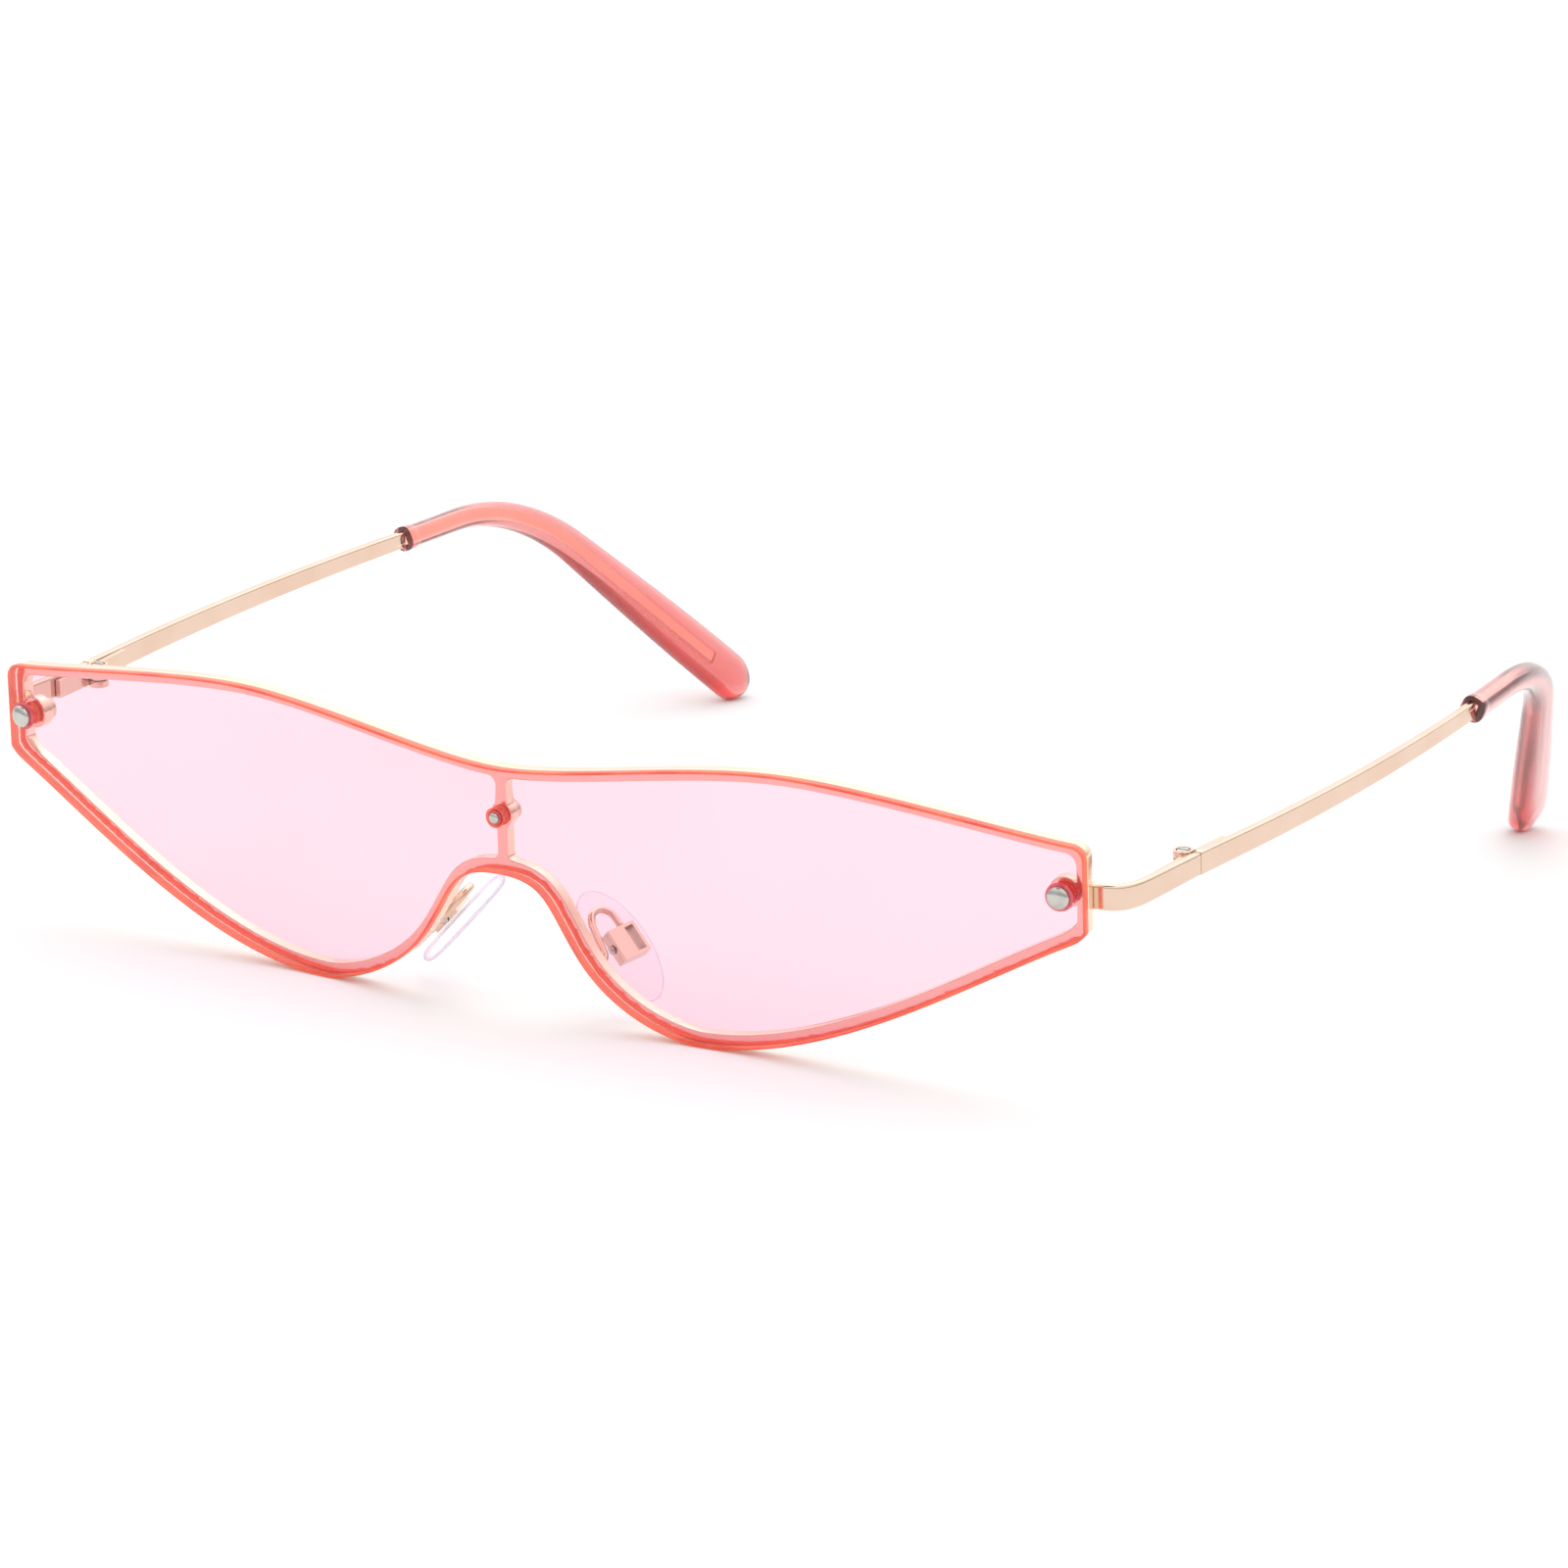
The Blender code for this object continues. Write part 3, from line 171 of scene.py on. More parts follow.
class Nodes:
    """Adds nodes to one tree and links them."""

    def __init__(self, tree: bpy.types.NodeTree) -> None:
        """Keeps the tree."""
        self.tree = tree

    def add(
        self, kind: str, settings: Optional[dict] = None, inputs: Optional[dict] = None
    ) -> bpy.types.Node:
        """A node with its settings first and then its sockets.

        Args:
            kind: The node's type name.
            settings: Properties of the node, or "stops", a list of a ramp's (place, colour).
            inputs: A value, a Value or a socket for each input, by name or number.

        Returns:
            The node.
        """
        node = self.tree.nodes.new(kind)
        for name, setting in (settings or {}).items():
            if name == "stops":
                self._set_stops(node.color_ramp, setting)
            else:
                setattr(node, name, setting)
        for name, value in (inputs or {}).items():
            self.feed(node.inputs[name], value)
        return node

    @staticmethod
    def _set_stops(ramp: bpy.types.ColorRamp, stops: Sequence[tuple[float, Colour]]) -> None:
        """Gives a colour ramp its stops."""
        while len(ramp.elements) < len(stops):
            ramp.elements.new(1.0)
        for element, (place, colour) in zip(ramp.elements, stops):
            element.position = place
            element.color = (*colour, 1.0)

    def feed(self, socket: bpy.types.NodeSocket, value: Any) -> None:
        """Links a value into a socket, or sets the socket to it."""
        if isinstance(value, Value):
            self.tree.links.new(value.socket, socket)
        elif isinstance(value, bpy.types.NodeSocket):
            self.tree.links.new(value, socket)
        else:
            socket.default_value = value

    def out(self, kind: str, output: Union[str, int], settings: Optional[dict] = None,
            inputs: Optional[dict] = None) -> Value:
        """A new node's output, as a value.

        Args:
            kind: The node's type name.
            output: The output's name or number.
            settings: As for add.
            inputs: As for add.

        Returns:
            The output.
        """
        return Value(self, self.add(kind, settings, inputs).outputs[output])

    def math(self, operation: str, *values: Any) -> Value:
        """A Math node on up to three values."""
        return self.out("ShaderNodeMath", 0, {"operation": operation}, dict(enumerate(values)))

    def vector(self, operation: str, *values: Any) -> Value:
        """A Vector Math node on up to three vectors."""
        return self.out("ShaderNodeVectorMath", 0, {"operation": operation}, dict(enumerate(values)))

    def scaled(self, vector: Any, by: Any) -> Value:
        """A vector times a number."""
        return self.out("ShaderNodeVectorMath", 0, {"operation": "SCALE"}, {0: vector, "Scale": by})

    def blend(self, factor: Any, low: Any, high: Any, mode: str = "MIX") -> Value:
        """A Mix node on two colours."""
        settings = {"data_type": "RGBA", "blend_type": mode, "clamp_factor": True}
        node = self.add("ShaderNodeMix", settings)
        self.feed(node.inputs[0], factor)
        for socket, colour in ((node.inputs[6], low), (node.inputs[7], high)):
            self.feed(socket, (*colour, 1.0) if isinstance(colour, tuple) else colour)
        return Value(self, node.outputs[2])

    def step(self, value: Any, low: float, high: float, to_low: float = 0.0, to_high: float = 1.0) -> Value:
        """A smooth rise from to_low to to_high as a value goes from low to high."""
        inputs = {"Value": value, "From Min": low, "From Max": high, "To Min": to_low, "To Max": to_high}
        return self.out("ShaderNodeMapRange", "Result", {"interpolation_type": "SMOOTHSTEP"}, inputs)


class Paint(Nodes):
    """The nodes of one material, with the patterns that several finishes share."""

    def __init__(self, name: str) -> None:
        """Makes an empty material."""
        self.material = bpy.data.materials.new(name)
        self.material.use_nodes = True
        super().__init__(self.material.node_tree)
        self.tree.nodes.clear()
        self.place = self.out("ShaderNodeTexCoord", "Object")

    def noise(
        self, size: float, detail: float = 2.0, stretch: Vector = Vector((1, 1, 1)), seed: float = 0.0
    ) -> Value:
        """Noise from 0 to 1.

        Args:
            size: The width of its blobs.
            detail: How many finer layers it has.
            stretch: How much longer the blobs are along each axis.
            seed: Moves the pattern.

        Returns:
            The noise value.
        """
        scale = tuple(1.0 / length for length in stretch)
        inputs = {"Vector": self.place, "Scale": scale, "Location": (seed, seed * 0.7, -seed)}
        place = self.out("ShaderNodeMapping", 0, {}, inputs)
        inputs = {"Vector": place, "Scale": 1.0 / size, "Detail": detail}
        return self.out("ShaderNodeTexNoise", "Fac", {}, inputs)

    def openness(self, reach: float, beside_others: bool = False) -> Value:
        """How open the surface is, from 0 deep in a corner to 1, as a mask for painted shade.

        Args:
            reach: How far it looks.
            beside_others: True if other pieces close it too.

        Returns:
            The share.
        """
        settings = {"samples": 6, "only_local": not beside_others}
        return self.out("ShaderNodeAmbientOcclusion", "AO", settings, {"Distance": reach})

    def bump(self, height: Any, depth: float) -> Value:
        """A normal for a height from 0 to 1 that stands for a depth in metres."""
        return self.out("ShaderNodeBump", 0, {}, {"Strength": 1.0, "Distance": depth, "Height": height})

    def mirrored(self, head_on: float) -> Value:
        """How much a clear face mirrors: head_on square to it, and all of it at a grazing angle."""
        turn = self.out("ShaderNodeLayerWeight", "Facing", {}, {"Blend": 0.5})
        return head_on + (1 - head_on) * turn**5

    def principled(self, **inputs: Any) -> Value:
        """A Principled shader: each word is a socket's name with _ for a space."""
        named = {name.replace("_", " "): value for name, value in inputs.items()}
        return self.out("ShaderNodeBsdfPrincipled", 0, {}, named)

    def finish(self, surface: Any, volume: Any = None) -> bpy.types.Material:
        """Links the shaders to the output and returns the material."""
        inputs = {"Surface": surface}
        if volume is not None:
            inputs["Volume"] = volume
        self.add("ShaderNodeOutputMaterial", {}, inputs)
        return self.material


# ---------------------------------------------------------------- finishes


@dataclass(frozen=True)
class GoldPlate:
    """Polished champagne gold plate with fine polishing marks and painted shade in its crevices.

    beside_others adds painted shade where other pieces come close as well as in its own crevices.
    The glow field is painted light that it gives off. Only the cores inside the ear tips have any.
    """

    name: str = "champagne_gold"
    beside_others: bool = False
    base: Colour = (0.80, 0.60, 0.48)
    warm: Colour = (0.77, 0.55, 0.42)
    crevice: Colour = (0.14, 0.06, 0.04)
    crevice_reach: float = 0.7 * MM
    gloss: tuple[float, float] = (0.10, 0.20)
    mark_depth: float = 0.004 * MM
    metallic: float = 1.0
    glow: float = 0.0

    def material(self) -> bpy.types.Material:
        """The finish as a material."""
        paint = Paint(self.name)
        cloud = paint.noise(9 * MM, 3.0)
        marks = paint.noise(0.16 * MM, 2.0, Vector((1.0, 14.0, 1.0)), 3.1)
        colour = paint.blend(paint.step(cloud, 0.3, 0.7), self.base, self.warm)
        # Painted shade: the colour goes to a dark brown in crevices that ambient occlusion finds, and near
        # other pieces when beside_others is set.
        unshaded_share = paint.step(paint.openness(self.crevice_reach, self.beside_others), 0.12, 0.62)
        colour = paint.blend(unshaded_share, self.crevice, colour)
        low, high = self.gloss
        rough = low + (high - low) * (cloud * 0.5 + marks * 0.5)
        normal = paint.bump(marks, self.mark_depth)
        # Emission is painted light: the surface gives off its own colour at the glow strength.
        shader = paint.principled(
            Base_Color=colour, Metallic=self.metallic, Roughness=rough, Normal=normal,
            Emission_Color=colour, Emission_Strength=self.glow,
        )
        return paint.finish(shader)


@dataclass(frozen=True)
class PolishedSteel:
    """Bright steel of the pins and screws, with a faint turned grain and painted shade in its crevices."""

    name: str = "polished_steel"
    base: Colour = (0.62, 0.61, 0.57)
    shade: Colour = (0.52, 0.51, 0.47)
    crevice: Colour = (0.10, 0.08, 0.07)
    crevice_reach: float = 0.4 * MM
    gloss: tuple[float, float] = (0.14, 0.30)

    def material(self) -> bpy.types.Material:
        """The finish as a material."""
        paint = Paint(self.name)
        cloud = paint.noise(1.5 * MM, 3.0)
        grain = paint.noise(0.08 * MM, 2.0, Vector((1.0, 1.0, 6.0)), 1.7)
        colour = paint.blend(paint.step(cloud, 0.35, 0.7), self.base, self.shade)
        # Painted shade: the colour goes nearly black in crevices that ambient occlusion finds.
        unshaded_share = paint.step(paint.openness(self.crevice_reach), 0.1, 0.6)
        colour = paint.blend(unshaded_share, self.crevice, colour)
        low, high = self.gloss
        rough = low + (high - low) * grain
        shader = paint.principled(
            Base_Color=colour, Metallic=1.0, Roughness=rough, Normal=paint.bump(grain, 0.003 * MM)
        )
        return paint.finish(shader)


@dataclass(frozen=True)
class LensFace:
    """The clear faces of the tinted lens. Light crosses two of them."""

    name: str = "tinted_lens"
    tint: Colour = (0.978, 0.712, 0.802)
    depth: Colour = (0.974, 0.698, 0.789)
    gloss: float = 0.02
    head_on: float = 0.035

    def material(self) -> bpy.types.Material:
        """The finish as a material."""
        paint = Paint(self.name)
        cloud = paint.step(paint.noise(30 * MM, 1.0), 0.3, 0.7)
        face = tuple(math.sqrt(c) for c in self.tint)
        deep = tuple(math.sqrt(c) for c in self.depth)
        clear = paint.out("ShaderNodeBsdfTransparent", 0, {}, {"Color": (*face, 1.0)})
        tinted = paint.out("ShaderNodeBsdfTransparent", 0, {}, {"Color": (*deep, 1.0)})
        body = paint.out("ShaderNodeMixShader", 0, {}, {0: cloud, 1: clear, 2: tinted})
        smear = paint.noise(4 * MM, 3.0)
        mirror = paint.principled(
            Base_Color=(*WHITE, 1.0), Metallic=1.0, Roughness=self.gloss + 0.03 * smear
        )
        share = paint.mirrored(self.head_on)
        return paint.finish(paint.out("ShaderNodeMixShader", 0, {}, {0: share, 1: body, 2: mirror}))


@dataclass(frozen=True)
class LensEdge:
    """The lens's polished edge, where the tint gathers into coral. It gives off a little painted light."""

    name: str = "tinted_lens_edge"
    coral: Colour = (1.0, 0.17, 0.07)
    deep: Colour = (0.82, 0.055, 0.025)
    clear: Colour = (1.0, 0.42, 0.30)
    clouded: float = 0.72
    glow: float = 0.12

    def material(self) -> bpy.types.Material:
        """The finish as a material."""
        paint = Paint(self.name)
        streak = paint.noise(2.2 * MM, 3.0, Vector((3.0, 1.0, 3.0)))
        colour = paint.blend(paint.step(streak, 0.35, 0.75), self.coral, self.deep)
        # Emission is painted light that keeps the coral edge bright.
        shader = paint.principled(
            Base_Color=colour, Roughness=0.12, Coat_Weight=0.6,
            Emission_Color=colour, Emission_Strength=self.glow,
        )
        clear = paint.out("ShaderNodeBsdfTransparent", 0, {}, {"Color": (*self.clear, 1.0)})
        mix = {0: self.clouded, 1: clear, 2: shader}
        return paint.finish(paint.out("ShaderNodeMixShader", 0, {}, mix))


@dataclass(frozen=True)
class TintedBush:
    """The pink plastic of the bushes round the pins."""

    name: str = "pink_bush"
    base: Colour = (0.95, 0.30, 0.36)
    deep: Colour = (0.80, 0.12, 0.18)
    clear: Colour = (1.0, 0.62, 0.68)
    clouded: float = 0.55

    def material(self) -> bpy.types.Material:
        """The finish as a material."""
        paint = Paint(self.name)
        cloud = paint.step(paint.noise(0.8 * MM, 2.0), 0.35, 0.7)
        colour = paint.blend(cloud, self.base, self.deep)
        shader = paint.principled(Base_Color=colour, Roughness=0.18, Coat_Weight=0.5)
        clear = paint.out("ShaderNodeBsdfTransparent", 0, {}, {"Color": (*self.clear, 1.0)})
        mix = {0: self.clouded, 1: clear, 2: shader}
        return paint.finish(paint.out("ShaderNodeMixShader", 0, {}, mix))


@dataclass(frozen=True)
class TipAcetate:
    """Clear red acetate, pale where it is thin and deep red where it is thick."""

    name: str = "red_acetate"
    skin: Colour = (1.0, 0.93, 0.92)
    warm_skin: Colour = (1.0, 0.88, 0.87)
    depth: Colour = (0.93, 0.19, 0.16)
    strength: float = 450.0

    def material(self) -> bpy.types.Material:
        """The finish as a material."""
        paint = Paint(self.name)
        cloud = paint.noise(5 * MM, 2.0)
        colour = paint.blend(paint.step(cloud, 0.3, 0.7), self.skin, self.warm_skin)
        rough = 0.14 + 0.08 * paint.noise(0.7 * MM, 3.0)
        shader = paint.principled(
            Base_Color=colour, Roughness=rough, IOR=1.49, Transmission_Weight=1.0,
            Coat_Weight=1.0, Coat_Roughness=0.04,
        )
        inputs = {"Color": (*self.depth, 1.0), "Density": self.strength}
        return paint.finish(shader, paint.out("ShaderNodeVolumeAbsorption", 0, {}, inputs))


@dataclass(frozen=True)
class ClearSilicone:
    """Clear soft silicone with a faint lilac edge."""

    name: str = "clear_silicone"
    base: Colour = (0.997, 0.990, 0.998)
    edge: Colour = (0.78, 0.66, 0.90)

    def material(self) -> bpy.types.Material:
        """The finish as a material."""
        paint = Paint(self.name)
        haze = paint.noise(1.6 * MM, 3.0)
        turn = paint.out("ShaderNodeLayerWeight", "Facing", {}, {"Blend": 0.5})
        clear = paint.out("ShaderNodeBsdfTransparent", 0, {}, {"Color": (*self.base, 1.0)})
        skin = paint.principled(
            Base_Color=(*self.edge, 1.0), Roughness=0.16 + 0.12 * haze,
            Normal=paint.bump(haze, 0.01 * MM), Specular_IOR_Level=0.6,
        )
        share = paint.step(turn, 0.35, 0.9, 0.04, 0.85)
        return paint.finish(paint.out("ShaderNodeMixShader", 0, {}, {0: share, 1: clear, 2: skin}))


@dataclass(frozen=True)
class StudioFloor:
    """A matt pale floor."""

    name: str = "studio_floor"
    base: Colour = (0.92, 0.92, 0.92)

    def material(self) -> bpy.types.Material:
        """The finish as a material."""
        paint = Paint(self.name)
        cloud = paint.noise(0.4, 2.0)
        colour = paint.blend(cloud, self.base, tuple(c * 0.99 for c in self.base))
        return paint.finish(paint.principled(Base_Color=colour, Roughness=0.9, Specular_IOR_Level=0.1))


class Finishes:
    """Every material, made once."""

    def __init__(self) -> None:
        """Makes the materials."""
        self.gold = GoldPlate().material()
        # Gold with painted shade near other pieces, for the end pieces and hinge leaves.
        self.gold_fitted = GoldPlate("champagne_gold_fitted", beside_others=True).material()
        # Gold with painted shade reaching deeper, which darkens the pad boxes' windows.
        self.gold_recessed = GoldPlate("champagne_gold_recessed", crevice_reach=2.2 * MM).material()
        # The ear-tip cores: gold painted brighter and redder, less metallic and glowing, as painted light for
        # the light that reaches them through the acetate.
        core_lit_base, core_lit_warm = (1.0, 0.62, 0.50), (1.0, 0.57, 0.45)
        self.gold_core = GoldPlate(
            "champagne_gold_core", base=core_lit_base, warm=core_lit_warm, metallic=0.3, glow=0.55
        ).material()
        # The rim: the gold painted brighter than elsewhere, as painted light on the rim seen through the
        # lens.
        rim_lit_base, rim_lit_warm = (0.97, 0.75, 0.58), (0.95, 0.71, 0.53)
        self.gold_rim = GoldPlate("champagne_gold_rim", base=rim_lit_base, warm=rim_lit_warm).material()
        self.steel = PolishedSteel().material()
        self.lens = LensFace().material()
        self.lens_edge = LensEdge().material()
        self.bush = TintedBush().material()
        self.tip = TipAcetate().material()
        self.silicone = ClearSilicone().material()
        self.floor = StudioFloor().material()


# ---------------------------------------------------------------- geometry trees


class GeometryTree(Nodes):
    """A geometry node group with named inputs, that ends in Realize Instances and Set Material."""

    def __init__(self, name: str, inputs: Sequence[tuple[str, str]]) -> None:
        """Makes the group's sockets.

        Args:
            name: The group's name.
            inputs: The (name, socket type) of each input after the geometry.
        """
        tree = bpy.data.node_groups.new(name, "GeometryNodeTree")
        super().__init__(tree)
        tree.interface.new_socket("Geometry", in_out="INPUT", socket_type="NodeSocketGeometry")
        for label, kind in (*inputs, ("Material", "NodeSocketMaterial")):
            tree.interface.new_socket(label, in_out="INPUT", socket_type=kind)
        tree.interface.new_socket("Geometry", in_out="OUTPUT", socket_type="NodeSocketGeometry")
        self.given = self.add("NodeGroupInput")
        self.identifiers = {
            item.name: item.identifier
            for item in tree.interface.items_tree
            if item.item_type == "SOCKET" and item.in_out == "INPUT"
        }

    def input(self, name: str) -> Value:
        """An input of the group."""
        return Value(self, self.given.outputs[name])

    def points_of(self, name: str) -> bpy.types.NodeSocket:
        """The geometry of an object input."""
        inputs = {"Object": self.input(name)}
        return self.add("GeometryNodeObjectInfo", {"transform_space": "ORIGINAL"}, inputs).outputs["Geometry"]

    def count(self, geometry: Any) -> Value:
        """How many points a mesh has."""
        return self.out("GeometryNodeAttributeDomainSize", "Point Count", {}, {"Geometry": geometry})

    def position(self) -> Value:
        """Each point's place."""
        return self.out("GeometryNodeInputPosition", 0)

    def named(self, name: str, kind: str = "FLOAT_VECTOR") -> Value:
        """Each point's own attribute."""
        return self.out("GeometryNodeInputNamedAttribute", 0, {"data_type": kind}, {"Name": name})

    def sample(self, geometry: Any, value: Value, index: Value, kind: str = "FLOAT_VECTOR") -> Value:
        """A value of the numbered point of another geometry."""
        inputs = {"Geometry": geometry, "Value": value, "Index": index}
        return self.out("GeometryNodeSampleIndex", 0, {"data_type": kind}, inputs)

    def sheet(self, rows: Value, columns: Value) -> tuple[Value, Value, Value]:
        """A grid of rows and columns, with each point's row and column."""
        inputs = {"Vertices X": rows, "Vertices Y": columns}
        grid = self.out("GeometryNodeMeshGrid", "Mesh", {}, inputs)
        index = self.out("GeometryNodeInputIndex", 0)
        row = self.math("FLOOR", (index + 0.5) / columns)
        return grid, row, index - row * columns

    def moved(self, geometry: Any, place: Value) -> Value:
        """The geometry with each point at a new place."""
        return self.out("GeometryNodeSetPosition", 0, {}, {"Geometry": geometry, "Position": place})

    def welded(self, geometry: Any, distance: float = 1e-6) -> Value:
        """The geometry with its seams and poles closed."""
        return self.out("GeometryNodeMergeByDistance", 0, {}, {"Geometry": geometry, "Distance": distance})

    def end(self, geometry: Any) -> None:
        """Realizes the instances, sets the material and links the output."""
        real = self.out("GeometryNodeRealizeInstances", 0, {}, {"Geometry": geometry})
        inputs = {"Geometry": real, "Material": self.input("Material")}
        self.add("NodeGroupOutput", {}, {0: self.out("GeometryNodeSetMaterial", 0, {}, inputs)})

    def run(self, name: str, base: bpy.types.Mesh, **values: Any) -> bpy.types.Mesh:
        """The plain mesh that the group makes.

        Args:
            name: The mesh's name.
            base: The mesh that goes into the group.
            values: Each named input's value, with _ for a space.

        Returns:
            The result, welded and facing outwards.
        """
        obj = bpy.data.objects.new(name, base)
        bpy.context.scene.collection.objects.link(obj)
        modifier = obj.modifiers.new(name, "NODES")
        modifier.node_group = self.tree
        for label, value in values.items():
            modifier[self.identifiers[label.replace("_", " ")]] = value
        mesh = evaluated_mesh(obj)
        bpy.data.objects.remove(obj, do_unlink=True)
        return only_material(faced_out(mesh), values["Material"])


class TurnedTree(GeometryTree):
    """Turns a profile of (radius, 0, height) about Z, and sets one copy on each point."""

    def __init__(self) -> None:
        """Builds the tree."""
        super().__init__("turned_piece", [("Profile", "NodeSocketObject"), ("Segments", "NodeSocketInt")])
        profile = self.points_of("Profile")
        segments = self.input("Segments")
        grid, row, column = self.sheet(self.count(profile), segments + 1)
        point = self.add("ShaderNodeSeparateXYZ", {}, {0: self.sample(profile, self.position(), row)})
        radius, height = Value(self, point.outputs["X"]), Value(self, point.outputs["Z"])
        angle = column * math.tau / segments
        x, y = radius * self.math("COSINE", angle), radius * self.math("SINE", angle)
        inputs = {"X": x, "Y": y, "Z": height}
        shape = self.welded(self.moved(grid, self.out("ShaderNodeCombineXYZ", 0, {}, inputs)))
        inputs = {"Vector": self.named("forward")}
        turn = self.out("FunctionNodeAlignRotationToVector", 0, {"axis": "Z"}, inputs)
        points = self.out("GeometryNodeMeshToPoints", 0, {}, {"Mesh": self.input("Geometry")})
        inputs = {"Points": points, "Instance": shape, "Rotation": turn}
        self.end(self.out("GeometryNodeInstanceOnPoints", 0, {}, inputs))

    def make(self, name: str, profile: Sequence[tuple[float, float]], places: Sequence[tuple[Vector, Vector]],
             material: bpy.types.Material, segments: int = 64) -> bpy.types.Mesh:
        """A round piece at each place.

        Args:
            name: The mesh's name.
            profile: (radius, height) points. Its last point is its first where it is a ring.
            places: The (origin, way forward) of each copy.
            material: Its finish.
            segments: The number of flats round it.

        Returns:
            The mesh.
        """
        outline = point_mesh("profile", [(radius, 0.0, height) for radius, height in profile])
        guide = bpy.data.objects.new("profile", outline)
        base = point_mesh(name, [origin for origin, _ in places], forward=[forward for _, forward in places])
        mesh = self.run(name, base, Profile=guide, Segments=segments, Material=material)
        bpy.data.objects.remove(guide, do_unlink=True)
        return mesh


class SweptTree(GeometryTree):
    """Skins a section along a path whose points say how wide and how high the section is there."""

    def __init__(self) -> None:
        """Builds the tree."""
        super().__init__("swept_bar", [("Section", "NodeSocketObject")])
        path, section = self.input("Geometry"), self.points_of("Section")
        grid, row, column = self.sheet(self.count(path), self.count(section))
        middle = self.sample(path, self.position(), row)
        across = self.sample(path, self.named("across"), row)
        upward = self.sample(path, self.named("upward"), row)
        side = self.add("ShaderNodeSeparateXYZ", {}, {0: self.sample(section, self.position(), column)})
        corner = self.sample(section, self.named("corner"), column)
        corner = self.add("ShaderNodeSeparateXYZ", {}, {0: corner})
        place = middle
        for direction, axis in ((across, "X"), (upward, "Y")):
            place = self.vector("ADD", place, self.scaled(direction, Value(self, side.outputs[axis])))
            unit = self.vector("NORMALIZE", direction)
            place = self.vector("ADD", place, self.scaled(unit, Value(self, corner.outputs[axis])))
        skin = self.moved(grid, place)
        along = self.sample(path, self.named("along", "FLOAT"), row, "FLOAT")
        inputs = {"Geometry": skin, "Name": "along", "Value": along}
        settings = {"data_type": "FLOAT", "domain": "POINT"}
        stored = self.out("GeometryNodeStoreNamedAttribute", 0, settings, inputs)
        self.end(self.welded(stored))

    def make(
        self, name: str, rings: Sequence["Ring"], section: "Section", material: bpy.types.Material
    ) -> bpy.types.Mesh:
        """A bar through the rings, closed at both ends.

        Args:
            name: The mesh's name.
            rings: Its sections, in order.
            section: Their shape.
            material: Its finish.

        Returns:
            The mesh.
        """
        first, last = rings[0], rings[-1]
        closed = [first.shrunk(0.0), *rings, last.shrunk(0.0)]
        base = point_mesh(
            name,
            [ring.middle for ring in closed],
            across=[ring.across for ring in closed],
            upward=[ring.upward for ring in closed],
            along=[ring.along for ring in closed],
        )
        places, corners = section.points()
        guide = bpy.data.objects.new("section", point_mesh("section", places, corner=corners))
        mesh = self.run(name, base, Section=guide, Material=material)
        bpy.data.objects.remove(guide, do_unlink=True)
        return mesh


@dataclass
class Ring:
    """One section of a swept bar: its middle and its two half sizes as vectors."""

    middle: Vector
    across: Vector
    upward: Vector
    along: float = 0.0

    def shrunk(self, share: float) -> "Ring":
        """The ring at a share of its size."""
        return Ring(self.middle, self.across * share, self.upward * share, self.along)


@dataclass(frozen=True)
class Section:
    """A section's shape: a squared oval, or a rectangle where it has a corner radius."""

    squareness: float = 2.0
    corner: float = 0.0
    segments: int = 40

    def points(self) -> tuple[list[tuple[float, float, float]], list[tuple[float, float, float]]]:
        """Unit points round the section, and what the corner's rounding adds to each in metres."""
        places, corners = [], []
        for k in range(self.segments + 1):
            angle = math.tau * (k + 0.5) / self.segments
            u, v = math.cos(angle), math.sin(angle)
            if self.corner:
                su, sv = math.copysign(1.0, u), math.copysign(1.0, v)
                places.append((su, sv, 0.0))
                turn = math.atan2(abs(v), abs(u))
                cu, cv = math.cos(turn), math.sin(turn)
                corners.append((su * self.corner * (cu - 1.0), sv * self.corner * (cv - 1.0), 0.0))
            else:
                power = 2.0 / self.squareness
                u, v = (math.copysign(abs(w) ** power, w) for w in (u, v))
                places.append((u, v, 0.0))
                corners.append((0.0, 0.0, 0.0))
        return places, corners


# ---------------------------------------------------------------- mesh helpers


def point_mesh(name: str, places: Sequence[Sequence[float]], **attributes: Sequence[Any]) -> bpy.types.Mesh:
    """A mesh of loose points, with a float or vector attribute for each name given."""
    mesh = bpy.data.meshes.new(name)
    mesh.from_pydata([tuple(place) for place in places], [], [])
    for label, values in attributes.items():
        if isinstance(values[0], (int, float)):
            mesh.attributes.new(label, "FLOAT", "POINT").data.foreach_set("value", list(values))
        else:
            flat = [number for value in values for number in value]
            mesh.attributes.new(label, "FLOAT_VECTOR", "POINT").data.foreach_set("vector", flat)
    return mesh


def evaluated_mesh(obj: bpy.types.Object) -> bpy.types.Mesh:
    """An object's mesh as its modifiers make it."""
    graph = bpy.context.evaluated_depsgraph_get()
    return bpy.data.meshes.new_from_object(obj.evaluated_get(graph), depsgraph=graph)


def reshaped(mesh: bpy.types.Mesh, work: Callable[[bmesh.types.BMesh], None]) -> bpy.types.Mesh:
    """The mesh after a function has worked on it in a bmesh."""
    shape = bmesh.new()
    shape.from_mesh(mesh)
    work(shape)
    shape.to_mesh(mesh)
    shape.free()
    return mesh


def faced_out(mesh: bpy.types.Mesh) -> bpy.types.Mesh:
    """The mesh with its doubles merged, its empty faces gone and its faces pointing outwards."""

    def work(shape: bmesh.types.BMesh) -> None:
        """Merges, cleans and turns the faces out."""
        bmesh.ops.remove_doubles(shape, verts=shape.verts, dist=WELD)
        bmesh.ops.dissolve_degenerate(shape, edges=shape.edges, dist=WELD)
        bmesh.ops.recalc_face_normals(shape, faces=shape.faces)

    return reshaped(mesh, work)


